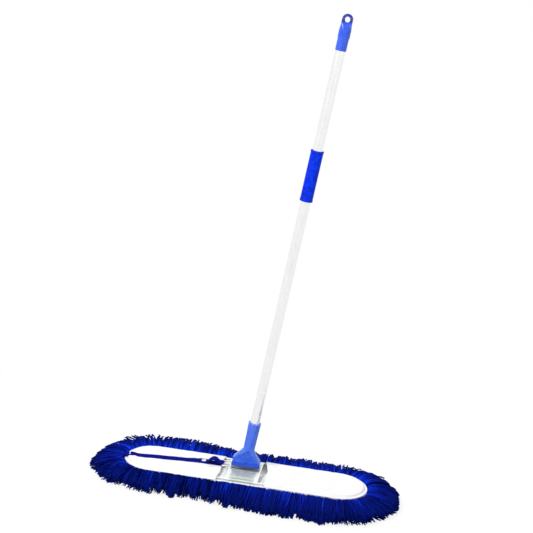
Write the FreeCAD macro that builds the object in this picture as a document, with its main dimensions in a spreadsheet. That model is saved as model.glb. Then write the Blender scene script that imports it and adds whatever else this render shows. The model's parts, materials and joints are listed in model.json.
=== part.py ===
import FreeCAD, Part
import math
import os
import re
import Sketcher

# Flat dust mop: a yarn head on a bent wire frame, a sheet steel bracket, a two-way plastic swivel
# and an aluminium pole with a soft grip and a hanging cap. Millimetres. X runs along the head,
# Y points away from the user, Z points up from the floor.

# Driving dimensions: name, value, what it sets
DRIVING_SIZES = [
    ("backing_length", 640, "white backing, tip to tip"),
    ("backing_width", 150, "white backing, front to back"),
    ("backing_thickness", 1.5, "canvas that the yarn is sewn to"),
    ("pile_height", 32, "yarn under the backing"),
    ("fringe_reach", 85, "yarn beyond the backing"),
    ("fringe_flat", 62, "part of the fringe that lies on the floor"),
    ("fringe_height", 41, "highest point of the fringe"),
    ("fringe_drop", 13, "from the fringe's highest point down to its outer shoulder"),
    ("fringe_tip_height", 10, "where the fringe reaches out furthest"),
    ("fringe_rim", 2.5, "how far the fringe's inner rim stands over the backing"),
    ("fringe_crest", 22, "from the fringe's inner rim to its highest point"),
    ("fringe_shoulder", 72, "from the fringe's inner rim to its outer shoulder"),
    ("fringe_crest_curve", 85, "radius from the inner rim to the highest point"),
    ("fringe_slope_curve", 60, "radius from the highest point to the shoulder"),
    ("fringe_nose_curve", 25, "radius from the shoulder to the outermost point"),
    ("fringe_foot_curve", 30, "radius from the outermost point to the floor"),
    ("cloth_gap", 0.3, "air between yarn and canvas edge"),
    ("pocket_cloth", 1.2, "pocket canvas"),
    ("pocket_mouth", 70, "from the middle of the head to each pocket's mouth"),
    ("pocket_hem", 5, "width of the hem sewn to the backing"),
    ("pocket_edge", 2, "backing left bare round the hem"),
    ("pocket_slope", 4, "run of the pocket's sloping side"),
    ("wire_diameter", 5, "frame wire"),
    ("wire_inset", 14, "from the backing's edge to the wire's middle"),
    ("wire_end_gap", 2, "between the two ends of the wire"),
    ("sheet", 1.2, "bracket steel"),
    ("bracket_width", 84, "bracket along the head"),
    ("bracket_flange", 7, "flat strip beside each rolled edge"),
    ("bracket_bead", 5, "run of the step above that strip"),
    ("bracket_bead_rise", 3, "rise of that step"),
    ("hinge_height", 59.5, "tilt axis above the floor"),
    ("platform_drop", 11.5, "from the tilt axis down to the bracket's top"),
    ("window_width", 34, "opening under the swivel block, front to back"),
    ("ear_radius", 6.2, "bracket ears round the tilt pin"),
    ("hinge_pin_diameter", 5, "tilt pin"),
    ("hinge_pin_head", 9, "head of the tilt pin"),
    ("hinge_head_height", 1.8, "head of the tilt pin"),
    ("hinge_head_curve", 6, "dome of the tilt pin's head"),
    ("washer_thickness", 0.9, "plastic washer beside the block"),
    ("clip_thickness", 0.9, "spring clip on a pin"),
    ("hinge_clip_diameter", 9, "spring clip on the tilt pin"),
    ("running_gap", 0.05, "between a pin and its bore"),
    ("side_gap", 0.1, "beside washers, clips and pin heads"),
    ("block_length", 72, "swivel block along the head"),
    ("block_depth", 28, "swivel block front to back"),
    ("block_below", 5.4, "block below the tilt axis"),
    ("block_above", 4.2, "block's aprons above the tilt axis"),
    ("block_floor", 4.4, "from the tilt axis down to the floor of the grooves"),
    ("apron", 2.5, "wall in front of and behind each groove"),
    ("block_chamfer", 2, "block's lower edges"),
    ("lean_rise", 8, "from the tilt axis up to the lean axis"),
    ("tongue_radius", 9, "block's tongue round the lean pin"),
    ("lean_pin_diameter", 5, "lean pin"),
    ("lean_pin_head", 7, "head of the lean pin"),
    ("lean_head_flat", 3.5, "flat on top of that head"),
    ("lean_head_height", 1.4, "head of the lean pin"),
    ("lean_head_curve", 2.8, "round edge of the lean pin's head"),
    ("lean_rest", 7, "degrees that the pole leans at rest"),
    ("skirt", 3, "front and back walls of the socket"),
    ("skirt_gap", 0.3, "between these walls and the block"),
    ("skirt_half_length", 35, "half the length of the skirts"),
    ("skirt_depth", 6, "skirts below the lean axis"),
    ("shoulder_half_length", 35.5, "half the width over the shoulders"),
    ("shoulder_bottom", 2.8, "underside of the shoulders over the lean axis"),
    ("shoulder_top", 4.4, "top of the shoulders over the lean axis"),
    ("low_rise", 7.6, "lower section of the flare over the shoulders' top"),
    ("low_half_width", 30, "lower section of the flare"),
    ("low_bulge", 0.6, "lower section of the flare in front of the skirts"),
    ("low_corner", 4.8, "lower section of the flare"),
    ("high_drop", 10, "upper section of the flare under its top"),
    ("high_half_width", 21, "upper section of the flare"),
    ("high_bulge", 2, "upper section of the flare in front of the skirts"),
    ("high_corner", 10.2, "upper section of the flare"),
    ("short_flat", 0.05, "flat between the corners of a nearly round section"),
    ("flare_top", 34, "where the flare meets the round socket"),
    ("socket_foot", 29, "round socket where the flare meets it"),
    ("socket_diameter", 32.5, "round socket at its rim"),
    ("socket_top", 108.5, "socket's rim over the lean axis"),
    ("panel_depth", 1.5, "sunk panel on each face of the flare"),
    ("panel_rib", 1.2, "height of each rib on the panel"),
    ("panel_ribs", 3, "ribs on each panel"),
    ("panel_notch", 3.2, "width of the notch at the top of each panel"),
    ("panel_notch_length", 6, "that notch along the pole"),
    ("panel_side_curve", 90, "hollow sides of the panel"),
    ("tube_diameter", 25, "pole tube"),
    ("tube_wall", 1, "pole tube"),
    ("tube_seat", 46.5, "foot of the tube over the lean axis"),
    ("slip_gap", 0.05, "between the tube and what is pushed over it"),
    ("grip_start", 706.5, "lower end of the grip over the lean axis"),
    ("grip_length", 127, "soft grip"),
    ("grip_diameter", 31, "soft grip"),
    ("grip_lip", 0.8, "how far the lips at the grip's ends stand out"),
    ("grip_lip_length", 4, "length of each lip"),
    ("cap_start", 1076.9, "cap's rim over the lean axis"),
    ("cap_skirt_diameter", 26.8, "lower part of the cap"),
    ("cap_skirt_length", 28, "lower part of the cap"),
    ("cap_diameter", 29, "upper part of the cap"),
    ("cap_body_length", 20.4, "upper part of the cap"),
    ("cap_neck_length", 16, "from the round cap to the flat eye"),
    ("cap_neck_waist", 0.2, "how far the neck's middle draws in at the sides"),
    ("eye_tab_root", 0.5, "tab's foot inside the neck"),
    ("eye_tab_corner", 1.5, "neck's corners where it meets the tab"),
    ("eye_tab_width", 25.5, "flat tab with the hanging eye"),
    ("eye_tab_thickness", 9, "flat tab with the hanging eye"),
    ("eye_width", 12.5, "hanging eye"),
    ("eye_length", 13.5, "hanging eye"),
    ("eye_rise", 9, "from the end of the neck to the middle of the eye"),
    ("tube_overlap", 45, "tube inside the cap"),
    ("screw_diameter", 4, "cross screw and rivet"),
    ("screw_head", 8, "head of the cross screw and the rivet"),
    ("screw_head_height", 2, "head of the cross screw and the rivet"),
    ("screw_head_curve", 4.4, "dome of that head"),
    ("screw_slot", 1.1, "width of each slot in the cross screw's head"),
    ("screw_slot_length", 4.6, "length of each slot"),
    ("screw_reach", 6, "length of the screw and rivet behind the outer wall"),
    ("socket_screw_rise", 96.5, "cross screw over the lean axis"),
    ("cap_rivet_rise", 18, "rivet over the cap's rim"),
    ("strap_width", 20, "blue webbing"),
    ("strap_thickness", 1.4, "blue webbing"),
    ("strap_side", 13, "webbing's middle behind the middle of the head"),
    ("strap_fold", 128, "end of the folded webbing from the middle of the head"),
    ("strap_lift", 95, "where the webbing leaves the pocket for the ring"),
    ("strap_gap", 0.1, "between layers of cloth and webbing"),
    ("stud_place", 113, "press stud from the middle of the head"),
    ("stud_diameter", 13, "press stud's cap"),
    ("stud_height", 3, "press stud's cap"),
    ("stud_rim", 1, "height of the cap's straight rim"),
    ("stud_crown", 3.5, "middle of the cap to its highest ring"),
    ("stud_dish", 1.5, "depth of the dish in the cap"),
    ("stud_curve", 6.5, "dome of the cap"),
    ("stud_post_diameter", 4, "press stud's post"),
    ("stud_flange_diameter", 9, "press stud's lower disc"),
    ("ring_wire", 3, "rectangular ring"),
    ("ring_length", 30, "ring, middle to middle of its wire, front to back"),
    ("ring_width", 17, "ring, middle to middle of its wire, along the head"),
    ("ring_corner", 4, "ring's corners"),
    ("ring_reach", 46, "ring's inner bar from the middle of the head"),
    ("lug_width", 14, "bracket's lug that holds the ring"),
]

doc = FreeCAD.newDocument("dust_mop")
sizes = doc.addObject("Spreadsheet::Sheet", "sizes")
for row, (name, value, note) in enumerate(DRIVING_SIZES, start=1):
    sizes.set(f"A{row}", name)
    sizes.set(f"B{row}", str(value))
    sizes.set(f"C{row}", note)
    sizes.setAlias(f"B{row}", name)
doc.recompute()

SIZE_NAMES = {name for name, value, note in DRIVING_SIZES}

# How closely a direction or a place has to agree to count as the same
NEARLY = 0.001

# Heights and places that follow from the driving dimensions
BACKING_TOP = "(pile_height + backing_thickness)"
ROLL_RADIUS = "(wire_diameter / 2 + running_gap + sheet)"
WIRE_HEIGHT = f"({BACKING_TOP} + running_gap + {ROLL_RADIUS})"
WIRE_HALF_WIDTH = "(backing_width / 2 - wire_inset)"
POCKET_INSIDE = f"({WIRE_HEIGHT} + wire_diameter / 2 + cloth_gap - {BACKING_TOP})"
POCKET_TOP = f"({BACKING_TOP} + {POCKET_INSIDE} + pocket_cloth)"
ROLL_TOP = f"({WIRE_HEIGHT} + {ROLL_RADIUS})"
PLATFORM_TOP = "(hinge_height - platform_drop)"
EAR_INSIDE = "(block_length / 2 + washer_thickness + 2 * side_gap)"
EAR_OUTSIDE = f"({EAR_INSIDE} + sheet)"
LUG_EYE_RADIUS = "(ring_wire / 2 + running_gap + sheet)"
RING_HEIGHT = f"({PLATFORM_TOP} - {LUG_EYE_RADIUS})"
LEAN_HEIGHT = "(hinge_height + lean_rise)"
GROOVE_OUTSIDE = "(block_depth / 2 - apron)"
CORE_HALF = f"({GROOVE_OUTSIDE} - skirt - 2 * skirt_gap)"
SKIRT_INSIDE = f"({CORE_HALF} + skirt_gap)"
SKIRT_OUTSIDE = f"({SKIRT_INSIDE} + skirt)"
STRAP_BOTTOM = f"({POCKET_TOP} + strap_gap)"
STRAP_TOP = f"({STRAP_BOTTOM} + strap_thickness)"
FOLD_TOP = f"({STRAP_TOP} + strap_gap + strap_thickness)"
CAP_SHOULDER = "(cap_start + cap_skirt_length)"
CAP_ROUND_TOP = f"({CAP_SHOULDER} + cap_body_length)"
CAP_NECK_TOP = f"({CAP_ROUND_TOP} + cap_neck_length)"
EYE_MIDDLE = f"({CAP_NECK_TOP} + eye_rise)"


# Expressions and sketches
def bind(expression):
    """The expression with every size name pointed at the sheet."""
    return re.sub(r"[a-z][a-z_]*", lambda word: _sheet_name(word.group()), str(expression))


def _sheet_name(word):
    return f"sizes.{word}" if word in SIZE_NAMES else word


def number(expression):
    return float(sizes.evalExpression(bind(expression)))


def new_body(label):
    body = doc.addObject("PartDesign::Body", label)
    body.Label = label
    return body


def new_sketch(body, plane, offset="0"):
    """A sketch on one of the body's own planes, moved along that plane's normal."""
    sketch = body.newObject("Sketcher::SketchObject", f"{body.Name}_sketch")
    face = [item for item in body.Origin.OriginFeatures if item.Role == plane][0]
    sketch.AttachmentSupport = [(face, "")]
    sketch.MapMode = "FlatFace"
    if str(offset) != "0":
        sketch.setExpression("AttachmentOffset.Base.z", bind(offset))
    return sketch


def drive(sketch, kind, *parts):
    """A dimension whose last part is an expression."""
    *where, expression = parts
    index = sketch.addConstraint(Sketcher.Constraint(kind, *where, number(expression)))
    sketch.setExpression(f"Constraints[{index}]", bind(expression))


def fix_point(sketch, geometry, end, place):
    """Fix one end of a sketch element by its distances from the sketch's origin."""
    for kind, axis, expression in (("DistanceX", -2, place[0]), ("DistanceY", -1, place[1])):
        if str(expression) == "0":
            sketch.addConstraint(Sketcher.Constraint("PointOnObject", geometry, end, axis))
        else:
            drive(sketch, kind, -1, 1, geometry, end, expression)


def arc_geometry(start, end, radius, turn):
    """An arc from start to end; turn is 1 for anticlockwise and -1 for clockwise."""
    chord = end - start
    rise = math.sqrt(max(radius * radius - chord.Length ** 2 / 4, 0))
    side = FreeCAD.Vector(-chord.y, chord.x, 0).normalize()
    centre = (start + end) / 2 + side * rise * turn
    first, last = (start, end) if turn > 0 else (end, start)
    angles = [math.atan2(point.y - centre.y, point.x - centre.x) for point in (first, last)]
    circle = Part.Circle(centre, FreeCAD.Vector(0, 0, 1), radius)
    return Part.ArcOfCircle(circle, angles[0], angles[1])


def outline(sketch, places, arcs=None, closed=True):
    """Lines through the places; arcs gives (radius, turn) for the edges that are round."""
    arcs = arcs or {}
    points = [FreeCAD.Vector(number(x), number(y), 0) for x, y in places]
    count = len(points) if closed else len(points) - 1
    ends = []
    for index in range(count):
        start = points[index]
        end = points[(index + 1) % len(points)]
        if index in arcs:
            radius, turn = arcs[index]
            geometry = sketch.addGeometry(arc_geometry(start, end, number(radius), turn))
            ends.append((geometry, 1, 2) if turn > 0 else (geometry, 2, 1))
        else:
            geometry = sketch.addGeometry(Part.LineSegment(start, end))
            ends.append((geometry, 1, 2))
    for index, (geometry, first, last) in enumerate(ends):
        fix_point(sketch, geometry, first, places[index])
        following = ends[(index + 1) % count]
        if closed or index + 1 < count:
            sketch.addConstraint(Sketcher.Constraint("Coincident", geometry, last, following[0], following[1]))
        else:
            fix_point(sketch, geometry, last, places[-1])
        if index in arcs:
            drive(sketch, "Radius", geometry, arcs[index][0])


def disc(sketch, centre, radius):
    middle = FreeCAD.Vector(number(centre[0]), number(centre[1]), 0)
    circle = Part.Circle(middle, FreeCAD.Vector(0, 0, 1), number(radius))
    geometry = sketch.addGeometry(circle)
    fix_point(sketch, geometry, 3, centre)
    drive(sketch, "Radius", geometry, radius)


def rectangle(sketch, left, right, low, high):
    outline(sketch, [(left, low), (right, low), (right, high), (left, high)])


def stadium(sketch, half_length, half_width, gap=None):
    """Two straight sides and two round ends about the origin; gap opens the far side in the middle."""
    reach = number(half_length)
    radius = number(half_width)
    straight = reach - radius
    up = FreeCAD.Vector(0, 0, 1)
    arcs = []
    for side in (1, -1):
        circle = Part.Circle(FreeCAD.Vector(side * straight, 0, 0), up, radius)
        start = -math.pi / 2 if side > 0 else math.pi / 2
        arc = sketch.addGeometry(Part.ArcOfCircle(circle, start, start + math.pi))
        sketch.addConstraint(Sketcher.Constraint("PointOnObject", arc, 3, -1))
        drive(sketch, "DistanceX", -1, 1, arc, 3, f"{'' if side > 0 else '-'}({half_length} - {half_width})")
        drive(sketch, "Radius", arc, half_width)
        arcs.append(arc)
    right, left = arcs
    near = sketch.addGeometry(Part.LineSegment(FreeCAD.Vector(-straight, -radius, 0),
                                               FreeCAD.Vector(straight, -radius, 0)))
    sketch.addConstraint(Sketcher.Constraint("Tangent", near, 1, left, 2))
    sketch.addConstraint(Sketcher.Constraint("Tangent", near, 2, right, 1))
    half_gap = 0 if gap is None else number(gap) / 2
    if gap is None:
        far = sketch.addGeometry(Part.LineSegment(FreeCAD.Vector(straight, radius, 0),
                                                  FreeCAD.Vector(-straight, radius, 0)))
        sketch.addConstraint(Sketcher.Constraint("Tangent", far, 1, right, 2))
        sketch.addConstraint(Sketcher.Constraint("Tangent", far, 2, left, 1))
        return
    for side, arc, end in ((1, right, 2), (-1, left, 1)):
        line = sketch.addGeometry(Part.LineSegment(FreeCAD.Vector(side * half_gap, radius, 0),
                                                   FreeCAD.Vector(side * straight, radius, 0)))
        sketch.addConstraint(Sketcher.Constraint("Tangent", line, 2, arc, end))
        drive(sketch, "DistanceX", -1, 1, line, 1, f"{'' if side > 0 else '-'}({gap}) / 2")


def round_rectangle(sketch, half_width, half_height, corner):
    """A rectangle about the origin with four round corners."""
    x, y, r = half_width, half_height, corner
    places = [(f"-({x} - {r})", f"-{y}"), (f"{x} - {r}", f"-{y}"), (x, f"-({y} - {r})"), (x, f"{y} - {r}"),
              (f"{x} - {r}", y), (f"-({x} - {r})", y), (f"-{x}", f"{y} - {r}"), (f"-{x}", f"-({y} - {r})")]
    outline(sketch, places, {index: (corner, 1) for index in (1, 3, 5, 7)})


# Features
def add_feature(body, kind, profile):
    feature = body.newObject(kind, f"{body.Name}_{kind.split('::')[1].lower()}")
    if profile is not None:
        feature.Profile = profile
        profile.Visibility = False
    return feature


def pad(body, sketch, length, symmetric=False, reverse=False):
    feature = add_feature(body, "PartDesign::Pad", sketch)
    feature.setExpression("Length", bind(length))
    feature.SideType = "Symmetric" if symmetric else "One side"
    feature.Reversed = reverse
    return feature


def cut(body, sketch, length=None, symmetric=False, reverse=False):
    """Cut the sketch away: through everything both ways, or to a depth."""
    doc.recompute()
    before = body.Shape.Volume
    feature = add_feature(body, "PartDesign::Pocket", sketch)
    if length is None:
        feature.Type = "ThroughAll"
        feature.SideType = "Symmetric"
    else:
        feature.setExpression("Length", bind(length))
        feature.SideType = "Symmetric" if symmetric else "One side"
        feature.Reversed = reverse
    doc.recompute()
    if not body.Shape.Volume < before:
        raise ValueError(f"{body.Label}: a cut removed nothing")
    return feature


def turn(body, places, arcs=None, axis="V_Axis"):
    """Turn a closed profile in the XZ plane about the sketch's own axis."""
    sketch = new_sketch(body, "XZ_Plane")
    outline(sketch, places, arcs)
    feature = add_feature(body, "PartDesign::Revolution", sketch)
    feature.ReferenceAxis = (sketch, [axis])
    feature.Angle = 360
    return feature


def loft(body, sections, subtract=False, ruled=False):
    kind = "PartDesign::SubtractiveLoft" if subtract else "PartDesign::AdditiveLoft"
    feature = add_feature(body, kind, sections[0])
    feature.Sections = sections[1:]
    feature.Ruled = ruled
    for section in sections[1:]:
        section.Visibility = False
    return feature


def pipe(body, profile, spine):
    feature = add_feature(body, "PartDesign::AdditivePipe", profile)
    feature.Spine = (spine, [])
    spine.Visibility = False
    return feature


def edges_where(body, test):
    """Names of the body's edges that pass the test."""
    doc.recompute()
    edges = body.Shape.Edges
    return [f"Edge{index}" for index, edge in enumerate(edges, start=1) if test(edge)]


def bevel_edges(body, size, test):
    names = edges_where(body, test)
    tip = body.Tip
    feature = body.newObject("PartDesign::Chamfer", f"{body.Name}_chamfer")
    feature.Base = (tip, names)
    feature.setExpression("Size", bind(size))
    return feature


def runs_along(edge, axis):
    """Whether a straight edge lies along x, y or z."""
    if edge.Curve.TypeId != "Part::GeomLine":
        return False
    direction = edge.Curve.Direction
    return abs(getattr(direction, axis)) > 1 - NEARLY


def middle(edge):
    return edge.BoundBox.Center


# Frames that the pieces are placed in
def place_on_tilt_axis(body):
    body.setExpression("Placement.Base.z", bind("hinge_height"))


def place_on_pole(body):
    """Origin on the lean axis, Z along the pole."""
    lean = FreeCAD.Rotation(FreeCAD.Vector(0, 1, 0), number("lean_rest"))
    body.Placement = FreeCAD.Placement(FreeCAD.Vector(0, 0, number(LEAN_HEIGHT)), lean)
    body.setExpression("Placement.Base.z", bind(LEAN_HEIGHT))
    body.setExpression("Placement.Rotation.Angle", bind("lean_rest"))


# Yarn head
def yarn_pile():
    body = new_body("yarn_pile")
    base = new_sketch(body, "XY_Plane")
    stadium(base, "backing_length / 2", "backing_width / 2")
    pad(body, base, "pile_height")


def backing_cloth():
    body = new_body("backing_cloth")
    base = new_sketch(body, "XY_Plane", "pile_height")
    stadium(base, "backing_length / 2", "backing_width / 2")
    pad(body, base, "backing_thickness")


def yarn_fringe():
    """The loose yarn all round: flat on the floor, rounded over the top."""
    body = new_body("yarn_fringe")
    spine = new_sketch(body, "XY_Plane")
    stadium(spine, "backing_length / 2 + cloth_gap", "backing_width / 2 + cloth_gap")
    section = new_sketch(body, "YZ_Plane")
    inner = "-(backing_width / 2 + cloth_gap)"
    places = [(inner, "0"),
              (inner, f"{BACKING_TOP} + fringe_rim"),
              (f"{inner} - fringe_crest", "fringe_height"),
              (f"{inner} - fringe_shoulder", "fringe_height - fringe_drop"),
              (f"{inner} - fringe_reach", "fringe_tip_height"),
              (f"{inner} - fringe_flat", "0")]
    outline(section, places, {1: ("fringe_crest_curve", 1), 2: ("fringe_slope_curve", 1),
                              3: ("fringe_nose_curve", 1), 4: ("fringe_foot_curve", 1)})
    pipe(body, section, spine)


def pocket(label, side):
    """One canvas pocket: a flat hem, sloping sides and a flat top, open towards the middle."""
    body = new_body(label)
    hem = new_sketch(body, "XY_Plane", BACKING_TOP)
    stadium(hem, "backing_length / 2 - pocket_edge", "backing_width / 2 - pocket_edge")
    pad(body, hem, "pocket_cloth")
    for wall, rise, subtract in (("0", f"{POCKET_INSIDE} + pocket_cloth", False),
                                 ("pocket_cloth", POCKET_INSIDE, True)):
        sections = []
        for run, height in (("0", "0"), ("pocket_slope", rise)):
            section = new_sketch(body, "XY_Plane", f"{BACKING_TOP} + {height}")
            inset = f"(pocket_edge + pocket_hem + {run} + {wall})"
            stadium(section, f"(backing_length / 2 - {inset})", f"(backing_width / 2 - {inset})")
            sections.append(section)
        loft(body, sections, subtract=subtract, ruled=True)
    mouth = new_sketch(body, "XY_Plane")
    if side < 0:
        left, right = "-pocket_mouth", "backing_length"
    else:
        left, right = "-backing_length", "pocket_mouth"
    rectangle(mouth, left, right, "-backing_width", "backing_width")
    cut(body, mouth)


# Wire frame and bracket
def wire_frame():
    body = new_body("wire_frame")
    spine = new_sketch(body, "XY_Plane", WIRE_HEIGHT)
    stadium(spine, "(backing_length / 2 - wire_inset)", WIRE_HALF_WIDTH, gap="wire_end_gap")
    section = new_sketch(body, "YZ_Plane", "wire_end_gap / 2")
    disc(section, (WIRE_HALF_WIDTH, WIRE_HEIGHT), "wire_diameter / 2")
    pipe(body, section, spine)


def bracket_profile():
    """Upper line of the folded plate from the front roll to the back one, as (y, z)."""
    roll = WIRE_HALF_WIDTH
    strip = f"({roll} - bracket_flange)"
    bead = f"({strip} - bracket_bead)"
    shelf = "(window_width / 2 + bracket_bead)"
    half = [(roll, ROLL_TOP), (strip, ROLL_TOP), (bead, f"{ROLL_TOP} + bracket_bead_rise"), (shelf, PLATFORM_TOP)]
    return [(f"-{y}", z) for y, z in half] + half[::-1]


def centre_bracket():
    """Folded steel plate: edges rolled round the wires, ears for the tilt pin, a lug for the ring."""
    body = new_body("centre_bracket")
    plate = new_sketch(body, "YZ_Plane")
    upper = bracket_profile()
    lower = [(y, f"{z} - sheet") for y, z in reversed(upper)]
    outline(plate, upper + lower)
    pad(body, plate, "bracket_width", symmetric=True)
    rolls = new_sketch(body, "YZ_Plane")
    for side in ("-", ""):
        disc(rolls, (f"{side}{WIRE_HALF_WIDTH}", WIRE_HEIGHT), ROLL_RADIUS)
    pad(body, rolls, "bracket_width", symmetric=True)
    bores = new_sketch(body, "YZ_Plane")
    for side in ("-", ""):
        disc(bores, (f"{side}{WIRE_HALF_WIDTH}", WIRE_HEIGHT), "wire_diameter / 2 + running_gap")
    cut(body, bores)
    window = new_sketch(body, "XY_Plane")
    rectangle(window, f"-{EAR_INSIDE}", EAR_INSIDE, "-window_width / 2", "window_width / 2")
    cut(body, window)
    for start in (EAR_INSIDE, f"-{EAR_OUTSIDE}"):
        ear = new_sketch(body, "YZ_Plane", start)
        foot = f"{PLATFORM_TOP} - sheet"
        outline(ear, [("-ear_radius", foot), ("ear_radius", foot), ("ear_radius", "hinge_height"),
                      ("0", "hinge_height + ear_radius"), ("-ear_radius", "hinge_height")],
                {2: ("ear_radius", 1), 3: ("ear_radius", 1)})
        disc(ear, ("0", "hinge_height"), "hinge_pin_diameter / 2 + running_gap")
        pad(body, ear, "sheet")
    lug = new_sketch(body, "XZ_Plane", "-(strap_side + lug_width / 2)")
    rectangle(lug, "-ring_reach", "-bracket_width / 2", f"{PLATFORM_TOP} - sheet", PLATFORM_TOP)
    pad(body, lug, "lug_width")
    eye = new_sketch(body, "XZ_Plane", "-(strap_side + lug_width / 2)")
    disc(eye, ("-ring_reach", RING_HEIGHT), LUG_EYE_RADIUS)
    pad(body, eye, "lug_width")
    bore = new_sketch(body, "XZ_Plane")
    disc(bore, ("-ring_reach", RING_HEIGHT), "ring_wire / 2 + running_gap")
    cut(body, bore)


def hinge_pin():
    """Long pin with a domed head at its right end."""
    body = new_body("hinge_pin")
    radius = "hinge_pin_diameter / 2"
    seat = f"({EAR_OUTSIDE} + side_gap)"
    tail = f"({seat} + 3 * clip_thickness)"
    places = [(f"-{tail}", "0"), (f"-{tail}", radius), (seat, radius), (seat, "hinge_pin_head / 2"),
              (f"{seat} + hinge_head_height", "0")]
    turn(body, places, {3: ("hinge_head_curve", -1)}, axis="H_Axis")
    place_on_tilt_axis(body)


def hinge_clip():
    body = new_body("hinge_clip")
    ring = new_sketch(body, "YZ_Plane", f"-({EAR_OUTSIDE} + side_gap + clip_thickness)")
    disc(ring, ("0", "0"), "hinge_clip_diameter / 2")
    disc(ring, ("0", "0"), "hinge_pin_diameter / 2 + running_gap")
    pad(body, ring, "clip_thickness")
    place_on_tilt_axis(body)


def hinge_washers():
    body = new_body("hinge_washers")
    for start in ("block_length / 2 + side_gap", "-(block_length / 2 + side_gap + washer_thickness)"):
        ring = new_sketch(body, "YZ_Plane", start)
        disc(ring, ("0", "0"), "ear_radius - side_gap")
        disc(ring, ("0", "0"), "hinge_pin_diameter / 2 + running_gap")
        pad(body, ring, "washer_thickness")
    place_on_tilt_axis(body)


# Keeper strap, press stud and ring
def strap_ring():
    body = new_body("strap_ring")
    spine = new_sketch(body, "XY_Plane")
    round_rectangle(spine, "(ring_width / 2)", "(ring_length / 2)", "ring_corner")
    section = new_sketch(body, "XZ_Plane")
    disc(section, ("ring_width / 2", "0"), "ring_wire / 2")
    pipe(body, section, spine)
    body.setExpression("Placement.Base.x", bind("-(ring_reach + ring_width / 2)"))
    body.setExpression("Placement.Base.y", bind("strap_side"))
    body.setExpression("Placement.Base.z", bind(RING_HEIGHT))


def keeper_strap():
    """Webbing sewn to the left end, led through the ring and folded back on itself."""
    body = new_body("keeper_strap")
    side = new_sketch(body, "XZ_Plane", "-(strap_side + strap_width / 2)")
    bar = "(ring_reach + ring_width)"
    inner = "(ring_wire / 2 + strap_gap)"
    outer = f"({inner} + strap_thickness)"
    hem_top = f"({BACKING_TOP} + pocket_cloth + strap_gap)"
    end_of_slope = "(backing_length / 2 - pocket_edge - pocket_hem - pocket_slope + strap_gap)"
    start_of_slope = "(backing_length / 2 - pocket_edge - pocket_hem + strap_gap)"
    end_of_strap = "(backing_length / 2 - 2 * pocket_edge)"
    lap = "(strap_lift + ring_wire)"
    places = [(f"-{end_of_strap}", hem_top),
              (f"-{start_of_slope}", hem_top),
              (f"-{end_of_slope}", STRAP_BOTTOM),
              ("-strap_lift", STRAP_BOTTOM),
              (f"-{bar}", f"{RING_HEIGHT} - {outer}"),
              (f"-({bar} - {outer})", RING_HEIGHT),
              (f"-{bar}", f"{RING_HEIGHT} + {outer}"),
              (f"-{lap}", FOLD_TOP),
              ("-strap_fold", FOLD_TOP),
              ("-strap_fold", f"{STRAP_TOP} + strap_gap"),
              (f"-{lap}", f"{STRAP_TOP} + strap_gap"),
              (f"-{bar}", f"{RING_HEIGHT} + {inner}"),
              (f"-({bar} - {inner})", RING_HEIGHT),
              (f"-{bar}", f"{RING_HEIGHT} - {inner}"),
              ("-strap_lift", STRAP_TOP),
              (f"-({end_of_slope} + strap_thickness / 2)", STRAP_TOP),
              (f"-({start_of_slope} + strap_thickness / 2)", f"{hem_top} + strap_thickness"),
              (f"-{end_of_strap}", f"{hem_top} + strap_thickness")]
    outline(side, places, {4: (outer, 1), 5: (outer, 1), 11: (inner, -1), 12: (inner, -1)})
    pad(body, side, "strap_width")
    hole = new_sketch(body, "XY_Plane")
    disc(hole, ("-stud_place", "strap_side"), "stud_post_diameter / 2 + running_gap")
    cut(body, hole)
    recess = new_sketch(body, "XY_Plane")
    disc(recess, ("-stud_place", "strap_side"), "stud_flange_diameter / 2 + running_gap")
    cut(body, recess, f"2 * ({STRAP_BOTTOM} + strap_thickness / 2)", symmetric=True)


def stud_cap():
    """Upper half of the press stud: a dome with a sunk middle."""
    body = new_body("stud_cap")
    rim = "stud_diameter / 2"
    post = "(stud_post_diameter / 2)"
    dish = "stud_height - stud_dish"
    turn(body, [("0", "strap_gap"), (rim, "strap_gap"), (rim, "stud_rim"), ("stud_crown", "stud_height"),
                (post, "stud_height"), (post, dish), ("0", dish)],
         {2: ("stud_curve", 1)})
    place_on_strap(body, FOLD_TOP)


def stud_post():
    """Lower half of the press stud: a disc let into the webbing and a post through both layers."""
    body = new_body("stud_post")
    post = "stud_post_diameter / 2"
    disc_top = "(strap_thickness / 2 - running_gap)"
    turn(body, [("0", "running_gap"), ("stud_flange_diameter / 2", "running_gap"),
                ("stud_flange_diameter / 2", disc_top), (post, disc_top),
                (post, "2 * strap_thickness + strap_gap"), ("0", "2 * strap_thickness + strap_gap")])
    place_on_strap(body, STRAP_BOTTOM)


def place_on_strap(body, height):
    body.setExpression("Placement.Base.x", bind("-stud_place"))
    body.setExpression("Placement.Base.y", bind("strap_side"))
    body.setExpression("Placement.Base.z", bind(height))


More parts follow.
